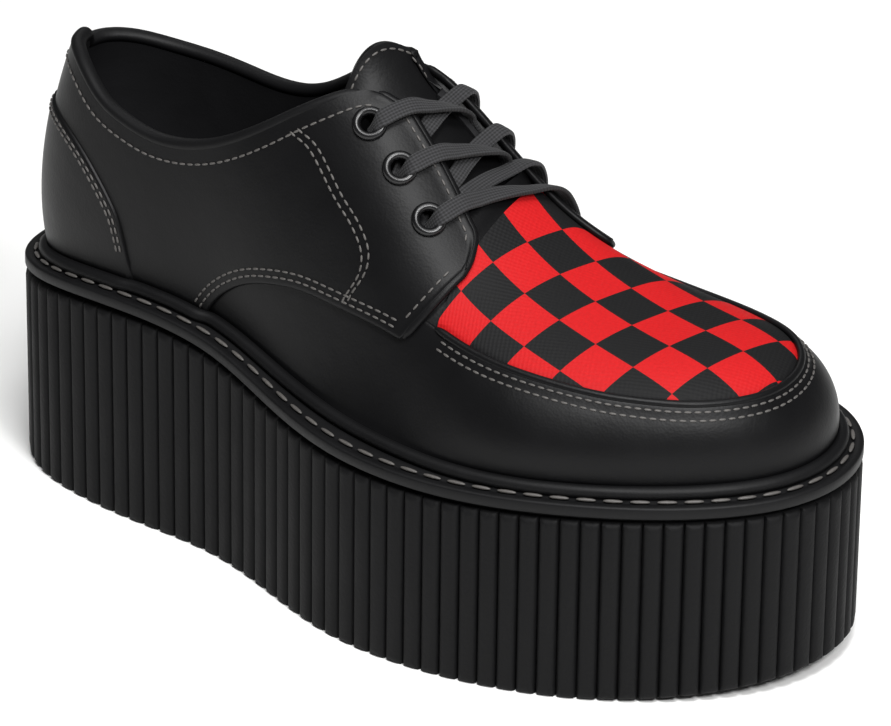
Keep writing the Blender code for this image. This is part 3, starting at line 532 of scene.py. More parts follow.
leatherFinish = {
    "dark": "#080809", "light": "#0f0f10", "grain": 0.0009, "crease": 0.012, "bump": 0.12, "poreDepth": 0.0002,
    "foldBump": 0.25, "foldDepth": 0.0009, "cloud": 45.0,
}
rubberFinish = {
    "dark": "#070708", "light": "#0d0d0e", "grit": 0.0012, "bump": 0.55, "depth": 0.0003, "cloud": 60.0,
}
checkFinish = {
    "red": "#b80f13", "redLow": "#9e0a0d", "black": "#0e0e0f", "blackLow": "#070708", "cell": 0.0152,
    "thread": 0.0007, "bump": 0.25, "depth": 0.0002, "fleck": 0.0011, "slant": 0.6, "waviness": 0.6,
}
# dark and light: painted shade in the weave's grooves and a painted highlight on its crests
laceWeaveAndShade = {
    "dark": "#121212", "light": "#343436", "cord": 0.00105, "knit": 0.0011, "bump": 0.7, "depth": 0.0003,
    "knitShare": 0.6,
}


def makeLeather(name, dark, light, low, high):
    # box side leather, dyed and lightly waxed: fine pores, soft broad highlights
    made, tree, shader = newMaterial(name, {"IOR": 1.5, "Specular IOR Level": 0.15})
    coords = (addNode(tree, "ShaderNodeTexCoord"), "Object")
    mottled(tree, shader, coords, dark, light, leatherFinish["cloud"], low, high)
    # real pores are about 0.3 mm; drawn at 0.9 mm so that they show
    pores = addNode(tree, "ShaderNodeTexVoronoi", {"feature": "F1"},
                    {"Vector": coords, "Scale": 1 / leatherFinish["grain"]})
    folds = noiseNode(tree, coords, 1 / leatherFinish["crease"], 4.0)
    fine = bumpNode(tree, leatherFinish["bump"], leatherFinish["poreDepth"], (pores, "Distance"))
    broad = bumpNode(tree, leatherFinish["foldBump"], leatherFinish["foldDepth"], (folds, "Fac"),
                     Normal=(fine, "Normal"))
    tree.links.new(broad.outputs[0], shader.inputs["Normal"])
    return made


def makeRubber():
    # moulded solid rubber: matt, sandy skin from the mould
    made, tree, shader = newMaterial("mouldedRubber", {"IOR": 1.52, "Specular IOR Level": 0.14})
    coords = (addNode(tree, "ShaderNodeTexCoord"), "Object")
    mottled(tree, shader, coords, rubberFinish["dark"], rubberFinish["light"], rubberFinish["cloud"], 0.55, 0.72)
    # grit of about 0.2 mm, drawn at about 1 mm
    grit = noiseNode(tree, coords, 1 / rubberFinish["grit"], 2.0)
    bump = bumpNode(tree, rubberFinish["bump"], rubberFinish["depth"], (grit, "Fac"))
    tree.links.new(bump.outputs[0], shader.inputs["Normal"])
    return made


def makeCheck():
    # cotton sateen in a two-colour check: crisp squares and a fine weave
    made, tree, shader = newMaterial("checkedSateen", {"Roughness": 0.7, "IOR": 1.46, "Specular IOR Level": 0.25})
    chart = (addNode(tree, "ShaderNodeUVMap"), "UV")
    split = addNode(tree, "ShaderNodeSeparateXYZ", {}, {0: chart})
    cells = []
    for axis in (0, 1):
        count = mathNode(tree, "DIVIDE", (split, axis), checkFinish["cell"])
        cells.append(mathNode(tree, "FLOOR", (count, 0)))
    total = mathNode(tree, "ADD", (cells[0], 0), (cells[1], 0))
    odd = mathNode(tree, "FLOORED_MODULO", (total, 0), 2.0)
    cloud = noiseNode(tree, chart, 1 / checkFinish["fleck"], 2.0)
    red, black = (mixNode(tree, (cloud, "Fac"), linear(checkFinish[name + "Low"]), linear(checkFinish[name]))
                  for name in ("red", "black"))
    colour = mixNode(tree, (odd, 0), (red, 2), (black, 2))
    tree.links.new(colour.outputs[2], shader.inputs["Base Color"])
    weave = []
    for turn in (0.0, math.pi / 2):
        turned = addNode(tree, "ShaderNodeMapping", {},
                         {"Vector": chart, "Rotation": (0.0, 0.0, turn + checkFinish["slant"])})
        weave.append(addNode(tree, "ShaderNodeTexWave", {"wave_type": "BANDS"}, {
            "Vector": (turned, 0), "Scale": 0.16 / checkFinish["thread"], "Distortion": checkFinish["waviness"]}))
    both = mathNode(tree, "ADD", (weave[0], "Fac"), (weave[1], "Fac"))
    bump = bumpNode(tree, checkFinish["bump"], checkFinish["depth"], (both, 0))
    tree.links.new(bump.outputs[0], shader.inputs["Normal"])
    return made


def makeLaceCloth():
    # flat knitted cotton lace: fine cords along it, crossed by small loops
    made, tree, shader = newMaterial(
        "knittedCotton", {"Roughness": 0.8, "IOR": 1.46, "Specular IOR Level": 0.35, "Sheen Weight": 0.05})
    chart = (addNode(tree, "ShaderNodeUVMap"), "UV")
    split = addNode(tree, "ShaderNodeSeparateXYZ", {}, {0: chart})
    waves = []
    for axis, pitch in ((0, laceWeaveAndShade["knit"]), (1, laceWeaveAndShade["cord"])):
        turns = mathNode(tree, "MULTIPLY", (split, axis), math.tau / pitch)
        waves.append(mathNode(tree, "SINE", (turns, 0)))
    along = mathNode(tree, "MULTIPLY", (waves[0], 0), laceWeaveAndShade["knitShare"])
    both = mathNode(tree, "ADD", (along, 0), (waves[1], 0))
    most = 1 + laceWeaveAndShade["knitShare"]
    level = addNode(tree, "ShaderNodeMapRange", {}, {"Value": (both, 0), "From Min": -most, "From Max": most})
    # colour follows the weave's height: painted shade in the grooves between cords and loops, painted highlight
    # on their crests
    colour = mixNode(tree, (level, 0), linear(laceWeaveAndShade["dark"]), linear(laceWeaveAndShade["light"]))
    tree.links.new(colour.outputs[2], shader.inputs["Base Color"])
    bump = bumpNode(tree, laceWeaveAndShade["bump"], laceWeaveAndShade["depth"], (level, 0))
    tree.links.new(bump.outputs[0], shader.inputs["Normal"])
    return made


def makeThread():
    # waxed polyester thread, near black in itself: its grey colour, slightly lighter than the leather it holds,
    # is a painted sheen
    made, tree, shader = newMaterial("waxedThread", {"IOR": 1.5})
    coords = (addNode(tree, "ShaderNodeTexCoord"), "Object")
    mottled(tree, shader, coords, "#3a3837", "#565350", 900.0, 0.45, 0.6)
    return made


def makeEnamel():
    # brass eyelet under black enamel: smooth, small bright highlights
    made, tree, shader = newMaterial("blackEnamel", {"IOR": 1.5, "Specular IOR Level": 0.4})
    coords = (addNode(tree, "ShaderNodeTexCoord"), "Object")
    mottled(tree, shader, coords, "#0b0b0c", "#111112", 200.0, 0.24, 0.34)
    return made


upperLeather = makeLeather("boxLeather", leatherFinish["dark"], leatherFinish["light"], 0.36, 0.48)
weltLeather = makeLeather("dressedEdgeLeather", "#0a0a0b", "#111112", 0.44, 0.58)
liningLeather = makeLeather("liningLeather", "#121213", "#1b1b1d", 0.60, 0.75)
rubber = makeRubber()
check = makeCheck()
laceCloth = makeLaceCloth()
thread = makeThread()
enamel = makeEnamel()
print("materials made")


# outsole: ribbed wall with rounded rib ends
outsole = {
    "ribs": 108, "perRib": 12, "depth": 0.0024, "weltHeight": 0.0042, "topGap": 0.0002, "squareness": 2.6,
}


def makeOutsole():
    count = outsole["ribs"] * outsole["perRib"]
    line = platformLine(count)
    way = outward(line)
    phase = np.abs((np.arange(count) % outsole["perRib"]) / outsole["perRib"] * 2 - 1)
    groove = outsole["depth"] * (1 - np.sqrt(1 - phase ** outsole["squareness"]))
    low = platformBottom(line[:, 0])
    high = platformTop(line[:, 0]) - outsole["weltHeight"] - outsole["topGap"]
    # rows: height above the bottom or below the top, and how far the crest draws back there
    rows = [(0, 0.0, 0.0016), (0, 0.0004, 0.0008), (0, 0.0012, 0.0002), (0, 0.0026, 0.0)]
    rows += [(1, 0.0046, 0.0), (1, 0.0034, 0.0002), (1, 0.0025, 0.0008), (1, 0.0019, 0.0017)]
    rows += [(1, 0.0016, 0.0030), (1, 0.0, 0.0031)]
    mesh = bmesh.new()
    rings = []
    for top, step, back in rows:
        z = high - step if top else low + step
        inset = np.maximum(groove, back)
        spots = line - way * inset[:, None]
        rings.append([mesh.verts.new((*spot, level)) for spot, level in zip(spots, z)])
    for a, b in zip(rings, rings[1:]):
        for i in range(count):
            j = (i + 1) % count
            mesh.faces.new((a[i], a[j], b[j], b[i]))
    for ring, flip in ((rings[0], True), (rings[-1], False)):
        for i in range(1, count // 2 - 1):
            rung = [ring[i], ring[i + 1], ring[count - i - 1], ring[count - i]]
            mesh.faces.new(rung[::-1] if flip else rung)
        tip = count // 2
        for end in ([ring[0], ring[1], ring[count - 1]], [ring[tip - 1], ring[tip], ring[tip + 1]]):
            mesh.faces.new(end[::-1] if flip else end)
    bmesh.ops.recalc_face_normals(mesh, faces=mesh.faces)
    data = bpy.data.meshes.new("ribbedSole")
    mesh.to_mesh(data)
    mesh.free()
    data.materials.append(rubber)
    piece = bpy.data.objects.new("ribbedSole", data)
    bpy.context.collection.objects.link(piece)
    return finishPiece(piece, "rubber", "outsole", sharp=42)


makeOutsole()
print("outsole made")


# upper: vamp, toe wall and lining
upper = {
    "around": 320, "up": 44, "rimRise": 0.0007, "rimWidth": 0.0050, "recess": 0.0014, "liningDrop": 0.0010,
    "rows": (0.0, 0.40, 0.50, 0.56, 0.60, 0.64, 1.0), "lip": 0.0005, "crowdFrom": 0.50, "crowdEase": 0.06,
    "rimStart": 0.004, "rimEase": 0.03, "recessFrom": 0.584, "recessEase": 0.006, "floor": 0.0002,
}


def shellTop(side, columns):
    # share of each column at the shell's free edge
    facing = facings[side.hand]
    place = side.placeOf(columns)
    level = side.level(columns, toplines[side.hand])
    across = side.width(columns, facing)
    top = np.where(place < facing[0, 0], level, np.minimum(level, across))
    return np.where(place > throat["front"], 1.0, top - upper["liningDrop"] / side.sizeOf(columns))


def loopColumns(u):
    # place round the loop to side and column: lateral heel to toe, then medial back to the heel
    hand = np.where(u <= 0.5, -1, 1)
    return hand, np.where(u <= 0.5, u, 1 - u) * 2 * columnEnd


def topLine(side):
    # the free edge's shares at many columns, read back by interpolation
    columns = np.linspace(0, columnEnd, 1201)
    values = shellTop(side, columns)
    return lambda at: np.interp(at, columns, values)


topLines = {hand: topLine(side) for hand, side in sides.items()}
apronEasing = {"columns": 401, "passes": 900, "from": 0.81, "width": 0.08}


def roundedApron():
    # both sides of the apron's edge as one line, eased round the toe
    count = apronEasing["columns"]
    columns = np.linspace(0, columnEnd, count)
    both = np.r_[sides[-1].apronLine(columns), sides[1].apronLine(columns)[-2::-1]]
    place = np.r_[sides[-1].placeOf(columns), sides[1].placeOf(columns)[-2::-1]]
    weight = smooth((place - apronEasing["from"]) / apronEasing["width"])
    for _ in range(apronEasing["passes"]):
        both = both * (1 - weight) + easedLine(both) * weight
    return {-1: lambda at: np.interp(at, columns, both[:count]),
            1: lambda at: np.interp(at, columns, both[count - 1:][::-1])}


apronLines = roundedApron()


def makeUpper():
    def shape(u, v):
        hand, column = loopColumns(u)
        points = np.zeros((len(u), 3))
        for one, side in sides.items():
            mine = hand == one
            c, t = column[mine], v[mine]
            size, place = side.sizeOf(c), side.placeOf(c)
            top, edge = topLines[one](c), apronLines[one](c)
            # rows crowd round the apron's edge in front, and are even behind
            knots = np.array(upper["rows"])
            rim, lip = upper["rimWidth"] / size, upper["lip"] / size
            stops = np.stack([0 * size, edge - 2 * rim, edge - rim, edge - 0.25 * rim, edge, edge + lip, top])
            k = np.clip(np.searchsorted(knots, t, side="right") - 1, 0, len(knots) - 2)
            part = (t - knots[k]) / (knots[k + 1] - knots[k])
            index = np.arange(len(t))
            stepped = stops[k, index] * (1 - part) + stops[k + 1, index] * part
            mix = smooth((place - upper["crowdFrom"]) / upper["crowdEase"])
            height = t * top * (1 - mix) + stepped * mix
            below = (edge - height) * size
            start = facings[one][-1, 0]
            rise = upper["rimRise"] * smooth((place - start - upper["rimStart"]) / upper["rimEase"])
            lifted = rise * smooth(1 - below / upper["rimWidth"]) * roundEdge(below + 0.0001, 0.0009)
            sunk = -upper["recess"] * smooth(-below / upper["lip"])
            sunk = sunk * smooth((place - upper["recessFrom"]) / upper["recessEase"])
            points[mine] = side.at(c, height, np.where(below >= 0, lifted, sunk))
        floor = platformTop(points[:, 0]) + upper["floor"]
        points[:, 2] = np.maximum(points[:, 2], floor)
        return points, np.c_[u, v]
    piece = gridPiece("vampAndLining", upper["around"], upper["up"], shape, [upperLeather, liningLeather])
    wallPiece(piece, last["wall"], liningSlot=1)
    return piece


upperPiece = makeUpper()
print("upper made")


# side panels
panel = {
    "along": 170, "up": 34, "thickness": 0.0019, "edge": 0.0011, "rim": 0.0006, "rimWidth": 0.0034,
    "rimBack": 0.0012, "keep": 0.0002, "lap": 0.006, "foot": 0.0012, "noseFrom": 0.53, "noseEase": 0.04,
    "facingEase": 0.01, "crowding": 1.5,
}


def quarterLow(side, columns):
    arch, nose = arches[side.hand], noses[side.hand]
    place = side.placeOf(columns)
    size = side.sizeOf(columns)
    under = side.level(columns, counterTable) - panel["lap"] / size
    foot = panel["foot"] / size
    low = np.where(place < counterTable[-1, 0], np.maximum(under, foot), foot)
    low = np.where(place > arch[0, 0], np.maximum(side.level(columns, arch), foot), low)
    return np.where(place > nose[0, 0], side.width(columns, nose), low)


def quarterHigh(side, columns):
    facing = facings[side.hand]
    place = side.placeOf(columns)
    level = side.level(columns, toplines[side.hand])
    return np.where(place > facing[0, 0], np.minimum(side.width(columns, facing), level), level)


def makeQuarter(side, name):
    facing = facings[side.hand]
    end = float(side.columnAt(facing[-1, 0] - 0.0004))
    columns = end * (1 - (1 - np.linspace(0, 1, 600)) ** panel["crowding"])
    low, high = quarterLow(side, columns), quarterHigh(side, columns)

    def shape(u, v):
        c = end * (1 - (1 - u) ** panel["crowding"])
        bottom, top = np.interp(c, columns, low), np.interp(c, columns, high)
        height = bottom + (top - bottom) * graded(v)
        size, place = side.sizeOf(c), side.placeOf(c)
        fromLow, fromHigh = (height - bottom) * size, (top - height) * size
        nose = smooth((place - panel["noseFrom"]) / panel["noseEase"])
        lowEdge = roundEdge(fromLow + panel["keep"], panel["edge"])
        isFacing = smooth((place - facing[0, 0] + panel["facingEase"]) / panel["facingEase"])
        highEdge = 1 - isFacing * (1 - roundEdge(fromHigh + panel["keep"], panel["edge"]))
        highRim, lowRim = (smooth(1 - (d - panel["rimBack"]) / panel["rimWidth"]) for d in (fromHigh, fromLow))
        rim = np.maximum(panel["rim"] * isFacing * highRim, panel["rim"] * 0.6 * nose * lowRim)
        offset = panel["thickness"] * np.minimum(lowEdge, highEdge) + rim * np.minimum(lowEdge, highEdge)
        points = side.at(c, height, offset)
        return points, np.c_[c * 0.001, height * size]
    piece = gridPiece(name, panel["along"], panel["up"], shape, [upperLeather])
    wallPiece(piece, panel["thickness"])
    return piece, (columns, low, high)


quarters, quarterLines = {}, {}
for hand, label in ((-1, "sidePanelLateral"), (1, "sidePanelMedial")):
    quarters[hand], quarterLines[hand] = makeQuarter(sides[hand], label)
print("side panels made")


# heel counter
counter = {
    "around": 120, "up": 30, "outside": 0.0029, "thickness": 0.0018, "edge": 0.0012, "keep": 0.0003,
    "columnLength": 0.0011, "floor": 0.0004, "crowding": 1.4,
}


def makeCounter():
    end = float(sides[-1].columnAt(counterTable[-1, 0]))
    columns = np.linspace(0, end, 300)
    highs = {hand: side.level(columns, counterTable) for hand, side in sides.items()}

    def shape(u, v):
        # from the medial end round the heel to the lateral end
        hand = np.where(u <= 0.5, 1, -1)
        c = np.abs(u - 0.5) * 2 * end
        points = np.zeros((len(u), 3))
        for one, side in sides.items():
            mine = hand == one
            size = side.sizeOf(c[mine])
            top = np.interp(c[mine], columns, highs[one])
            height = top * (1 - (1 - v[mine]) ** counter["crowding"])
            near = np.minimum((top - height) * size, (end - c[mine]) * counter["columnLength"])
            offset = counter["outside"] * roundEdge(near + counter["keep"], counter["edge"])
            points[mine] = side.at(c[mine], height, offset)
        points[:, 2] = np.maximum(points[:, 2], platformTop(points[:, 0]) + counter["floor"])
        return points, np.c_[u, v]
    piece = gridPiece("heelCounter", counter["around"], counter["up"], shape, [upperLeather])
    wallPiece(piece, counter["thickness"])
    return piece, (columns, highs)


counterPiece, counterLines = makeCounter()
print("counter made")


# checked apron
apron = {
    "around": 200, "up": 40, "inset": 0.0002, "sunk": 0.0008, "level": 0.0002, "thickness": 0.0007,
    "sinkWidth": 0.0025, "crowding": 1.3,
    "corner": (0.0400, 0.0050), "toeCell": (0.0150, -0.0019), "sideCell": (-0.0042, -0.0154),
}


def checkChart(points, faces):
    # cell coordinates of the check, measured along the cloth; the squares run a few degrees off the axis
    tree = BVHTree.FromPolygons([Vector(p) for p in points], faces)
    startX, startY = apron["corner"]

    def top(x, y):
        hit = tree.ray_cast(Vector((x, y, 0.3)), Vector((0, 0, -1)))
        return hit[0].z if hit[0] else None

    middle = np.linspace(0.020, 0.150, 131)
    heights = [top(x, 0.004) for x in middle]
    known = [(x, z) for x, z in zip(middle, heights) if z is not None]
    mx, mz = np.array([k[0] for k in known]), np.array([k[1] for k in known])
    run = np.r_[0, np.cumsum(np.hypot(np.diff(mx), np.diff(mz)))]
    run -= np.interp(startX, mx, run)
    chart = np.zeros((len(points), 2))
    for i, (x, y, z) in enumerate(points):
        along = np.interp(x, mx, run) + min(x - mx[0], 0) + max(x - mx[-1], 0)
        ys = np.linspace(startY, y, 9)
        zs = [top(x, q) for q in ys]
        zs[-1] = z
        zs = [z if q is None else q for q in zs]
        side = float(np.sum(np.hypot(np.diff(ys), np.diff(zs)))) * (1 if y > startY else -1)
        chart[i] = along, side
    cells = np.linalg.solve(np.stack([apron["toeCell"], apron["sideCell"]], axis=1), chart.T).T
    return cells * checkFinish["cell"]


def makeApron():
    back = float(sides[-1].columnAt(throat["apronBack"]))

    def shape(u, v):
        hand = np.where(u <= 0.5, -1, 1)
        c = back + (columnEnd - back) * np.where(u <= 0.5, u, 1 - u) * 2
        points = np.zeros((len(u), 3))
        for one, side in sides.items():
            mine = hand == one
            size = side.sizeOf(c[mine])
            low = apronLines[one](c[mine]) + apron["inset"] / size
            height = low + (1 - low) * v[mine] ** apron["crowding"]
            depth = (height - low) * size
            offset = -apron["level"] - (apron["sunk"] - apron["level"]) * (1 - smooth(depth / apron["sinkWidth"]))
            points[mine] = side.at(c[mine], height, offset)
        return points, np.c_[u, v]
    piece = gridPiece("checkedApron", apron["around"], apron["up"], shape, [check])
    faceOutward(piece, lastCore)
    mesh = piece.data
    chart = checkChart(np.array([v.co for v in mesh.vertices]), [tuple(f.vertices) for f in mesh.polygons])
    loops = np.empty(len(mesh.loops), int)
    mesh.loops.foreach_get("vertex_index", loops)
    mesh.uv_layers.active.data.foreach_set("uv", chart[loops].ravel())
    applyModifier(piece, "SOLIDIFY", thickness=apron["thickness"], offset=-1, use_rim=True)
    return piece


apronPiece = makeApron()
finishPiece(apronPiece, "check", "apron")
print("apron made")


# tongue
tongue = {
    "along": 80, "across": 48, "thickness": 0.0024, "depth": 0.0042, "lift": 0.0095, "back": 0.425,
    "slant": 0.062, "slantPower": 1.35, "crowding": 1.3, "front": 0.612, "curl": 0.30, "bevel": 0.0006,
}
tongueEdges = {
    -1: np.array([
        (0.425, -0.110), (0.440, -0.116), (0.475, -0.125), (0.510, -0.150), (0.560, -0.165),
        (0.625, -0.150)]),
    1: np.array([
        (0.425, 0.140), (0.446, 0.150), (0.475, 0.180), (0.510, 0.210), (0.560, 0.235), (0.625, 0.240)]),
}


def tonguePoint(u, v):
    # u runs from the top edge to the hidden front, v from the lateral to the medial edge
    start = tongue["back"] + tongue["slant"] * v ** tongue["slantPower"]
    place = start + (tongue["front"] - start) * u ** tongue["crowding"]
    low, high = (float(acrossTo(spline(tongueEdges[hand], 1, place))) for hand in (-1, 1))
    past = max(1 - u / tongue["curl"], 0) ** 1.5
    rise = tongue["lift"] * past * max(math.sin(math.pi * v), 0)
    return surfacePoint(place, low + (high - low) * v, -tongue["depth"]) + (0, 0, rise)


def makeTongue():
    def shape(u, v):
        return np.array([tonguePoint(a, b) for a, b in zip(u, v)]), np.c_[u, v]
    piece = gridPiece("tongueFlap", tongue["along"], tongue["across"], shape, [upperLeather, liningLeather])
    wallPiece(piece, tongue["thickness"], liningSlot=1)
    applyModifier(piece, "BEVEL", width=tongue["bevel"], segments=2, limit_method="ANGLE",
                  angle_limit=math.radians(60))
    return piece


tonguePiece = makeTongue()
finishPiece(tonguePiece, "leather", "tongue")
print("tongue made")


# swept pieces: binding and laces
def sweep(name, path, wides, widths, heights, section, materials):
    # a tube along a path: wides gives the sideways direction, section its outline in shares of half sizes
    path, wides = np.asarray(path), np.asarray(wides)
    along = np.gradient(path, axis=0)
    along /= np.linalg.norm(along, axis=1)[:, None]
    wides = wides - along * np.sum(wides * along, axis=1)[:, None]
    wides /= np.linalg.norm(wides, axis=1)[:, None]
    highs = np.cross(wides, along)
    run = runOf(path)
    count, size = len(path), len(section)
    section = np.asarray(section)

    def shape(u, v):
        i = np.clip(np.round(u * (count - 1)).astype(int), 0, count - 1)
        k = np.round(v * size).astype(int) % size
        points = (path[i] + wides[i] * (section[k, 0] * widths[i] / 2)[:, None]
                  + highs[i] * (section[k, 1] * heights[i] / 2)[:, None])
        return points, np.c_[run[i], section[k, 0] * widths[i] / 2]
    piece = gridPiece(name, count - 1, size, shape, materials)
    bpy.ops.object.mode_set(mode="EDIT")
    bpy.ops.mesh.select_mode(type="EDGE")
    bpy.ops.mesh.select_all(action="DESELECT")
    bpy.ops.mesh.select_non_manifold()
    bpy.ops.mesh.edge_face_add()
    bpy.ops.mesh.select_all(action="SELECT")
    bpy.ops.mesh.normals_make_consistent(inside=False)
    bpy.ops.mesh.select_mode(type="VERT")
    bpy.ops.object.mode_set(mode="OBJECT")
    return piece


binding = {"easing": 10, "width": 0.0052, "height": 0.0042, "sides": 16, "endBack": 0.006, "lift": 0.0006}


def makeBinding():
    middle = (panel["thickness"] - last["wall"]) / 2
    runs = []
    for hand, side in sides.items():
        end = float(side.columnAt(facings[hand][0, 0] - binding["endBack"] / last["length"]))
        columns = np.linspace(0, end, 140)
        level = side.level(columns, toplines[hand])
        edge = side.at(columns, level, middle)
        below = side.at(columns, level - 0.02, middle)
        up = edge - below
        up /= np.linalg.norm(up, axis=1)[:, None]
        runs.append((edge + up * binding["lift"], up))
    path = np.vstack([runs[1][0][:0:-1], runs[0][0]])
    ups = np.vstack([runs[1][1][:0:-1], runs[0][1]])
    path, ups = easedLine(path, binding["easing"]), easedLine(ups, binding["easing"])
    wides = np.cross(np.gradient(path, axis=0), ups)
    turn = ringTurn(binding["sides"])
    ends = taper(len(path), 0.4, 5.0)
    return sweep("collarRoll", path, wides, binding["width"] * ends, binding["height"] * ends,
                 np.c_[np.cos(turn), np.sin(turn)], [weltLeather])


bindingPiece = makeBinding()
finishPiece(bindingPiece, "edge_leather", "collar_binding")
print("collar roll made")


facingRoll = {"width": 0.0030, "height": 0.0026, "sides": 12, "outside": 0.0010}
apronRoll = {"width": 0.0026, "height": 0.0022, "sides": 12, "outside": 0.0003, "starts": {-1: 0.600, 1: 0.665}}


def makeRoll(name, path, ups, size):
    path, ups = np.asarray(path), np.asarray(ups)
    apart = np.r_[1.0, np.linalg.norm(np.diff(path, axis=0), axis=1)]
    path, ups = path[apart > 1e-5], ups[apart > 1e-5]
    turn = ringTurn(size["sides"])
    ends = taper(len(path), 0.3, 3.0)
    wides = np.cross(np.gradient(path, axis=0), ups)
    return sweep(name, path, wides, size["width"] * ends, size["height"] * ends,
                 np.c_[np.cos(turn), np.sin(turn)], [upperLeather])


def makeFacingRoll(hand):
    # from the top of the facing down the throat, round the front and along the lower front edge
    side, (columns, low, high) = sides[hand], quarterLines[hand]
    places = side.placeOf(columns)
    down = (places > facings[hand][0, 0] - 0.004) & (places < facings[hand][-1, 0] - 0.001)
    back = (places > noses[hand][0, 0]) & (places < facings[hand][-1, 0] - 0.001)
    c = np.r_[columns[down][::3], columns[back][::-1][::3]]
    t = np.r_[high[down][::3], low[back][::-1][::3]]
    path = easedLine(side.at(c, t, facingRoll["outside"]))
    return makeRoll("facingRoll", path, side.at(c, t, 0.002) - side.at(c, t, 0.0), facingRoll)


def makeApronRoll():
    path, ups = [], []
    for hand, start in apronRoll["starts"].items():
        side = sides[hand]
        columns = np.linspace(float(side.columnAt(start)), columnEnd, 130)[:: -hand]
        line = apronLines[hand](columns)
        path.append(side.at(columns, line, apronRoll["outside"]))
        ups.append(side.at(columns, line, 0.002) - side.at(columns, line, 0.0))
    return makeRoll("apronRoll", np.vstack(path), np.vstack(ups), apronRoll)


# eyelets, and the holes behind them
eyelets = {
    "places": {-1: (0.466, 0.509, 0.552), 1: (0.510, 0.548, 0.586, 0.624)},
    "backset": 0.0150, "outside": 0.0114, "hole": 0.0058, "cutRoom": 0.0006, "lift": 0.0003,
}


def eyeletSeat(hand, number):
    side = sides[hand]
    column = side.columnAt(eyelets["places"][hand][number])
    height = side.width([column], facings[hand]) - eyelets["backset"] / side.sizeOf(column)
    inner, outer = side.at(column, height, 0.0)[0], side.at(column, height, 0.001)[0]
    normal = Vector(outer - inner).normalized()
    return Vector(inner) + normal * panel["thickness"], normal


def standingOn(seat, normal):
    return Matrix.Translation(seat) @ normal.to_track_quat("Z", "Y").to_matrix().to_4x4()


def makeEyelet(hand, number):
    seat, normal = eyeletSeat(hand, number)
    middle = (eyelets["outside"] + eyelets["hole"]) / 4
    bpy.ops.object.select_all(action="DESELECT")
    bpy.ops.mesh.primitive_torus_add(
        major_segments=48, minor_segments=16, major_radius=middle,
        minor_radius=(eyelets["outside"] - eyelets["hole"]) / 4)
    piece = bpy.context.object
    piece.name = "eyelet%s%d" % ("Lateral" if hand < 0 else "Medial", number + 1)
    piece.data.transform(standingOn(seat + normal * eyelets["lift"], normal) @ Matrix.Diagonal((1, 1, 1.1, 1)))
    piece.data.materials.append(enamel)
    node = "eyelet_%s_%d" % ("lateral" if hand < 0 else "medial", number + 1)
    return finishPiece(piece, "black_metal", node)


def cutHoles(piece, seats, solver):
    # one cutter of round posts, taken from the panel
    posts = []
    for seat, normal in seats:
        bpy.ops.object.select_all(action="DESELECT")
        bpy.ops.mesh.primitive_cylinder_add(
            vertices=32, radius=eyelets["hole"] / 2 + eyelets["cutRoom"], depth=0.012)
        post = bpy.context.object
        post.data.transform(standingOn(seat, normal))
        posts.append(post)
    cutter = joinPieces("holeCutter", posts)
    applyModifier(piece, "BOOLEAN", operation="DIFFERENCE", solver=solver, object=cutter)
    bpy.data.objects.remove(cutter)


for hand in (-1, 1):
    seats = [eyeletSeat(hand, number) for number in range(len(eyelets["places"][hand]))]
    cutHoles(quarters[hand], seats, "EXACT")
    cutHoles(upperPiece, seats, "FAST")
    for number in range(len(seats)):
        makeEyelet(hand, number)
    quarters[hand] = joinPieces(quarters[hand].name, [quarters[hand], makeFacingRoll(hand)])
upperPiece = joinPieces(upperPiece.name, [upperPiece, makeApronRoll()])
finishPiece(upperPiece, "leather", "upper")
finishPiece(quarters[-1], "leather", "quarter_lateral")
finishPiece(quarters[1], "leather", "quarter_medial")
finishPiece(counterPiece, "leather", "heel_counter")
print("eyelets made")


# laces
lace = {
    "width": 0.0060, "thickness": 0.0016, "steps": 90, "over": 0.0044, "cross": 0.0012, "under": -0.0012,
    "sides": 14, "edgeEase": 0.010, "edgeRoom": 0.0015, "tuck": -0.0034, "tuckRun": 0.009, "tuckFrom": 0.008,
    "dip": -0.0020, "dipRun": 0.0042, "easing": 3, "squareness": 0.55, "pinch": 0.72, "pinchFrom": 0.002,
    "pinchRun": 0.006,
}
# each strap starts on top at one eyelet; it ends on top at another, or under the facing's edge
straps = [
    # side and eyelet of the start, side and eyelet of the end, ends on top, height over the throat
    (-1, 0, 1, 1, False, "cross"), (-1, 1, 1, 2, False, "cross"), (-1, 2, 1, 3, True, "cross"),
    (1, 0, -1, 1, False, "under"), (1, 1, -1, 2, False, "under"), (1, 2, -1, 2, False, "under"),
]


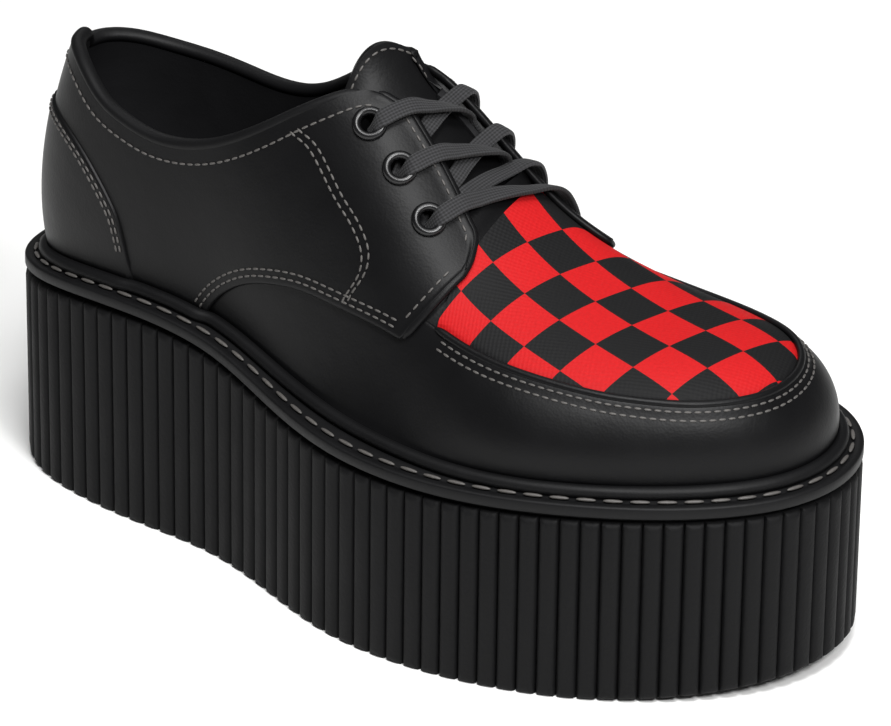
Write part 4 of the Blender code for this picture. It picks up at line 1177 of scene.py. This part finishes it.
def makeStrap(number, startHand, startEyelet, endHand, endEyelet, endsOnTop, lift):
    begin, firstNormal = eyeletSeat(startHand, startEyelet)
    finish, lastNormal = eyeletSeat(endHand, endEyelet)
    begin, finish = np.array(begin), np.array(finish)
    places = (share(begin[0]), share(finish[0]))
    shift = 0.004 if (startHand, startEyelet) == (1, 2) else 0.0
    path = []
    for t in np.linspace(0, 1, lace["steps"]):
        place = float(places[0] * (1 - t) + places[1] * t + shift * t)
        y = float(begin[1] * (1 - t) + finish[1] * t)
        low = float(acrossTo(spline(facings[-1], 1, place)))
        high = float(acrossTo(spline(facings[1], 1, place)))
        # how far inside the throat the point lies, measured from both facings
        fromStart = (y - low) if startHand < 0 else (high - y)
        fromEnd = (high - y) if startHand < 0 else (y - low)
        inside = smooth((min(fromStart, fromEnd) + lace["edgeRoom"]) / lace["edgeEase"])
        onTop = lace["over"] + (lace[lift] - lace["over"]) * inside
        if not endsOnTop and fromEnd < lace["tuckFrom"]:
            below = smooth((lace["tuckFrom"] - fromEnd) / lace["tuckRun"])
            onTop = onTop * (1 - below) + below * lace["tuck"]
        travel = t * np.linalg.norm(finish - begin)
        ends = (travel, np.linalg.norm(finish - begin) - travel) if endsOnTop else (travel,)
        for distance in ends:
            dive = smooth(1 - distance / lace["dipRun"])
            onTop = onTop * (1 - dive) + dive * lace["dip"]
        path.append(surfacePoint(place, y, onTop))
    path = easedLine(path, lace["easing"])
    chord = finish - begin
    blend = np.linspace(0, 1, len(path))[:, None]
    ups = np.array(firstNormal) * (1 - blend) + np.array(lastNormal) * blend
    wides = np.cross(chord[None, :], ups)
    run = runOf(path)
    free = np.minimum(run, run[-1] - run) if endsOnTop else run
    # a lace is narrower and thicker where it passes an eyelet
    squeeze = lace["pinch"] + (1 - lace["pinch"]) * smooth((free - lace["pinchFrom"]) / lace["pinchRun"])
    turn = ringTurn(lace["sides"])
    circle = np.c_[np.cos(turn), np.sin(turn)]
    section = np.sign(circle) * np.abs(circle) ** lace["squareness"]
    return sweep("strap%d" % number, path, wides, lace["width"] * squeeze,
                 lace["thickness"] * (1.4 - 0.4 * squeeze), section, [laceCloth])


laceParts = [makeStrap(number, *row) for number, row in enumerate(straps)]
lacePiece = joinPieces("laceStraps", laceParts)
finishPiece(lacePiece, "lace", "laces")
print("laces made")


# welt: side band, ledge and the bead against the upper
welt = {
    "around": 720, "band": 0.0042, "under": 0.0150, "beadWidth": 0.0046, "beadHeight": 0.0044, "edge": 0.0008,
    "proud": 0.0001, "easing": 6, "usualReach": 0.0094, "castFrom": 0.01, "castHeight": 0.0022,
}


def ringPiece(name, rings, materials):
    # a closed tube from closed sections, one for each place round the shoe
    count, size = len(rings), len(rings[0])
    rings = np.asarray(rings)

    def shape(u, v):
        i, k = np.round(u * count).astype(int) % count, np.round(v * size).astype(int) % size
        return rings[i, k], np.c_[u, v]
    return gridPiece(name, count, size, shape, materials)


def makeWelt():
    count = welt["around"]
    line = platformLine(count)
    way = outward(line)
    top = platformTop(line[:, 0])
    tree = treeOf(upperPiece, quarters[-1], quarters[1], counterPiece)
    # how far in from the platform's edge the leather stands
    reach = []
    for spot, out, z in zip(line, way, top):
        start = Vector((*(spot + out * welt["castFrom"]), z + welt["castHeight"]))
        hit = tree.ray_cast(start, Vector((-out[0], -out[1], 0)))
        reach.append((start - hit[0]).length - welt["castFrom"] if hit[0] else welt["usualReach"])
    for _ in range(welt["easing"]):
        reach = [(reach[i - 1] + 2 * reach[i] + reach[(i + 1) % count]) / 4 for i in range(count)]
    rounding = welt["edge"]
    band, bead = [], []
    for spot, out, z, inward in zip(line, way, top, reach):
        # steps back from the edge and up from the ledge, with a groove for the stitches
        profile = [
            (0.0006, -welt["band"]), (-welt["proud"], 0.0005 - welt["band"]), (-welt["proud"], -rounding),
            (rounding * 0.3 - welt["proud"], -rounding * 0.3), (rounding, 0.0), (0.0022, 0.0001),
            (0.0030, -0.0004), (0.0040, -0.0004), (0.0048, 0.0001), (inward - 0.0010, 0.0001),
            (welt["under"], 0.0001), (welt["under"], -welt["band"])]
        middle = inward - welt["beadWidth"] / 2 + 0.0006
        roll = [(middle - math.cos(a) * welt["beadWidth"] / 2, welt["beadHeight"] * (0.42 + 0.5 * math.sin(a)))
                for a in ringTurn(14)]
        for rings, outline in ((band, profile), (bead, roll)):
            rings.append([(*(spot - out * back), z + up) for back, up in outline])
    parts = [ringPiece("weltBand", band, [weltLeather]), ringPiece("weltBead", bead, [weltLeather])]
    piece = joinPieces("weltAndBead", parts)
    finishPiece(piece, "edge_leather", "welt", sharp=60)
    return line, way, top


weltLine, weltWay, weltTop = makeWelt()
print("welt made")


# stitches
stitching = {
    "seamPitch": 0.0031, "seamLength": 0.0024, "seamRadius": 0.00040,
    "weltPitch": 0.0084, "weltLength": 0.0064, "weltRadius": 0.00072, "weltBack": 0.0035,
    # rows: how far inside each edge they run
    "collarRows": (0.0052,), "throatRows": (0.0030,), "archRows": (0.0029, 0.0052), "frontRows": (0.0034,),
    "counterRows": (0.0018, 0.0036), "apronRows": (0.0026, 0.0052), "tongueRow": 0.0026, "eyestayHalf": 0.0011,
    "apronStarts": {-1: 0.612, 1: 0.680},
}


def stitchShape():
    bpy.ops.object.select_all(action="DESELECT")
    bpy.ops.mesh.primitive_uv_sphere_add(segments=8, ring_count=6, radius=1)
    model = bpy.context.object
    model.data.transform(Matrix.Rotation(math.pi / 2, 4, "Y"))
    points = np.array([v.co for v in model.data.vertices])
    # a stitch is fuller than an egg: its middle is straight
    points[:, 0] = np.sign(points[:, 0]) * np.abs(points[:, 0]) ** 0.75
    faces = [tuple(f.vertices) for f in model.data.polygons]
    bpy.data.objects.remove(model)
    return points, faces


stitchPoints, stitchFaces = stitchShape()


def stitchRow(points, normals, pitch, length, radius):
    # centres, ways and normals of the stitches along a line
    points, normals = np.asarray(points), np.asarray(normals)
    run = runOf(points)
    count = max(int(run[-1] / pitch), 1)
    made = []
    for k in range(count):
        middle = (k + 0.5) * run[-1] / count
        ends = [np.array([np.interp(middle + d, run, points[:, i]) for i in range(3)])
                for d in (-length / 2, 0, length / 2)]
        normal = np.array([np.interp(middle, run, normals[:, i]) for i in range(3)])
        along = ends[2] - ends[0]
        along /= np.linalg.norm(along)
        normal -= along * normal.dot(along)
        normal /= np.linalg.norm(normal)
        side = np.cross(normal, along)
        made.append(ends[1] + np.outer(stitchPoints[:, 0] * length / 2, along)
                    + np.outer(stitchPoints[:, 1] * radius, side)
                    + np.outer(stitchPoints[:, 2] * radius * 0.8, normal) + normal * radius * 0.4)
    return made


def stitchPiece(name, groups):
    points, faces = [], []
    for group in groups:
        for shape in group:
            base = len(points) * len(stitchPoints)
            points.append(shape)
            faces += [tuple(base + i for i in face) for face in stitchFaces]
    data = bpy.data.meshes.new(name)
    data.from_pydata(np.vstack(points).tolist(), [], faces)
    data.materials.append(thread)
    piece = bpy.data.objects.new(name, data)
    bpy.context.collection.objects.link(piece)
    return finishPiece(piece, "lace", sharp=80)


def rail(edge, outs, tree, distance, turn):
    # a line beside an edge, on the surface in the tree; turn is 1 or -1 for the side it lies on
    edge, outs = np.asarray(edge), np.asarray(outs)
    keep = np.r_[True, np.linalg.norm(np.diff(edge, axis=0), axis=1) > 1e-5]
    edge, outs = edge[keep], outs[keep]
    spots, normals = [], []
    for point, way, out in zip(edge, np.gradient(edge, axis=0), outs):
        out = Vector(out).normalized()
        side = Vector(way).cross(out).normalized()
        start = Vector(point) + side * (turn * distance) + out * 0.004
        spot, normal, _, _ = tree.ray_cast(start, -out, 0.009)
        if spot:
            spots.append(np.array(spot))
            normals.append(np.array(normal))
    return np.array(spots), np.array(normals)


def seamRow(spots, normals):
    return stitchRow(spots, normals, stitching["seamPitch"], stitching["seamLength"], stitching["seamRadius"])


def seam(edge, outs, tree, distance, turn):
    return seamRow(*rail(edge, outs, tree, distance, turn))


# double seam behind the eyelets: along, height as a share of the topline height
eyestaySeam = np.array([
    (0.391, 0.800), (0.402, 0.790), (0.423, 0.763), (0.456, 0.677), (0.480, 0.623), (0.499, 0.565),
    (0.506, 0.516), (0.504, 0.462), (0.494, 0.400), (0.490, 0.365)])


def makeSeams():
    groups = []
    for hand, side in sides.items():
        tree = treeOf(quarters[hand])
        columns, low, high = quarterLines[hand]
        places = side.placeOf(columns)
        facing, arch, nose = facings[hand], arches[hand], noses[hand]
        collar = (places > 0.02) & (places < facing[0, 0] - 0.004)
        throatEdge = (places > facing[0, 0] + 0.012) & (places < facing[-1, 0] - 0.006)
        archEdge = (places > arch[0, 0] + 0.004) & (places < nose[0, 0] - 0.010)
        frontEdge = (places > nose[0, 0] + 0.008) & (places < facing[-1, 0] - 0.003)
        for keep, line, distances in (
                (collar, high, "collarRows"), (throatEdge, high, "throatRows"), (archEdge, low, "archRows"),
                (frontEdge, low, "frontRows")):
            edge = side.at(columns[keep], line[keep], panel["thickness"])
            outs = side.read(side.normals, columns[keep], line[keep])
            for distance in stitching[distances]:
                turn = (1 if line is high else -1) * -hand
                groups.append(seam(edge[::2], outs[::2], tree, distance, turn))
        # the double seam behind the eyelets
        knots = np.linspace(0, 1, len(eyestaySeam))
        fine = np.linspace(0, 1, 60)
        table = np.c_[knots, eyestaySeam]
        xs = (spline(table, 1, fine) - 0.5) * last["length"]
        zs = platformTop(xs) + last["topline"] * spline(table, 2, fine)
        for shift in (-stitching["eyestayHalf"], stitching["eyestayHalf"]):
            spots, normals = [], []
            for x, z in zip(xs + shift, zs + shift * 0.6):
                spot, normal, _, _ = tree.ray_cast(Vector((x, hand * 0.2, z)), Vector((0, -hand, 0)))
                if spot:
                    spots.append(np.array(spot))
                    normals.append(np.array(normal))
            groups.append(seamRow(spots, normals))
        # counter: two rows inside its edge
        tree = treeOf(counterPiece)
        columns, highs = counterLines
        edge = side.at(columns[:-6], highs[hand][:-6], counter["outside"])
        outs = side.read(side.normals, columns[:-6], highs[hand][:-6])
        for distance in stitching["counterRows"]:
            groups.append(seam(edge[::2], outs[::2], tree, distance, -hand))
    # apron: two rows round the rim
    tree = treeOf(upperPiece)
    edge, outs = [], []
    for hand, side in sides.items():
        columns = np.linspace(float(side.columnAt(stitching["apronStarts"][hand])), columnEnd, 160)
        line = side.at(columns, apronLines[hand](columns), 0.0)
        out = side.read(side.normals, columns, apronLines[hand](columns))
        edge.append(line if hand < 0 else line[::-1][1:])
        outs.append(out if hand < 0 else out[::-1][1:])
    edge, outs = np.vstack(edge), np.vstack(outs)
    for distance in stitching["apronRows"]:
        groups.append(seam(edge[::2], outs[::2], tree, distance, 1))
    # tongue: one row inside its top edge
    tree = treeOf(tonguePiece)
    spots, normals = [], []
    for v in np.linspace(0.04, 0.84, 60):
        steps = np.linspace(0, 0.3, 40)
        line = np.array([tonguePoint(u, v) for u in steps])
        run = runOf(line)
        point = [np.interp(stitching["tongueRow"], run, line[:, i]) for i in range(3)]
        spot, normal, _, _ = tree.find_nearest(Vector(point) + Vector((0, 0, 0.0004)))
        spots.append(np.array(spot))
        normals.append(np.array(normal))
    groups.append(seamRow(spots, normals))
    return stitchPiece("seamStitches", groups)


makeSeams()


def makeWeltStitches():
    back = stitching["weltBack"]
    spots = np.c_[weltLine - weltWay * back, weltTop + 0.0001]
    spots = np.vstack([spots, spots[:1]])
    normals = np.tile((0.0, 0.0, 1.0), (len(spots), 1))
    row = stitchRow(spots, normals, stitching["weltPitch"], stitching["weltLength"], stitching["weltRadius"])
    return stitchPiece("weltStitches", [row])


makeWeltStitches()
print("stitches made")


# insole keeps its CAD shape
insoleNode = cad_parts["insole"]
insoleNode.data.materials.clear()
insoleNode.data.materials.append(liningLeather)


# floor, light and camera
stage = {"floor": "#f7f7f6", "floorSize": 12.0, "sky": "#ffffff", "skyStrength": 0.09}


def makeStage():
    bpy.ops.object.select_all(action="DESELECT")
    bpy.ops.mesh.primitive_plane_add(size=stage["floorSize"], location=(0, 0, 0))
    floor = bpy.context.object
    floor.name = "floor"
    made, _, _ = newMaterial("paleFloor", {"Base Color": linear(stage["floor"]), "Roughness": 0.8})
    floor.data.materials.append(made)
    world = bpy.data.worlds.new("studio")
    world.use_nodes = True
    world.node_tree.nodes["Background"].inputs["Color"].default_value = linear(stage["sky"])
    world.node_tree.nodes["Background"].inputs["Strength"].default_value = stage["skyStrength"]
    bpy.context.scene.world = world
    bpy.context.scene.view_settings.view_transform = "Standard"   # plain catalogue colours


def addLight(name, place, target, size, power):
    data = bpy.data.lights.new(name, "AREA")
    data.shape = "RECTANGLE"
    data.size, data.size_y = size
    data.energy = power
    light = bpy.data.objects.new(name, data)
    bpy.context.collection.objects.link(light)
    light.location = place
    light.rotation_euler = (Vector(target) - Vector(place)).to_track_quat("-Z", "Y").to_euler()


# the photograph's view: turned from the side, looked down on, and rolled a little (degrees)
view = {
    "turn": 31.78, "tilt": 28.01, "roll": 0.77, "focalPixels": 6283.3, "photoWidth": 891, "sensor": 36,
    "place": (0.9532, -1.5172, 1.0251),
}


def makeCamera():
    turn, tilt, roll = (math.radians(view[key]) for key in ("turn", "tilt", "roll"))
    back = Vector((math.sin(turn) * math.cos(tilt), -math.cos(turn) * math.cos(tilt), math.sin(tilt)))
    right = Vector((math.cos(turn), math.sin(turn), 0))
    up = back.cross(right)
    rolledRight = math.cos(roll) * right + math.sin(roll) * up
    rolledUp = -math.sin(roll) * right + math.cos(roll) * up
    data = bpy.data.cameras.new("photoView")
    data.sensor_width = view["sensor"]
    data.lens = view["focalPixels"] / view["photoWidth"] * view["sensor"]
    camera = bpy.data.objects.new("photoView", data)
    bpy.context.collection.objects.link(camera)
    rows = [(rolledRight[i], rolledUp[i], back[i], view["place"][i]) for i in range(3)]
    camera.matrix_world = Matrix((*rows, (0, 0, 0, 1)))
    bpy.context.scene.camera = camera


makeStage()
# name, place, target, size, power in watts
addLight("overhead", (0.25, -0.35, 2.1), (0, -0.1, 0), (1.8, 1.6), 29.0)
addLight("frontKey", (1.05, -0.60, 1.15), (0.08, 0, 0.10), (0.40, 0.40), 19.0)
addLight("topKey", (0.40, -0.55, 1.45), (0.0, 0, 0.13), (0.35, 0.35), 13.0)
addLight("backRim", (-0.9, 1.1, 1.2), (0, 0, 0.12), (0.8, 0.6), 2.5)
makeCamera()
print("stage made")
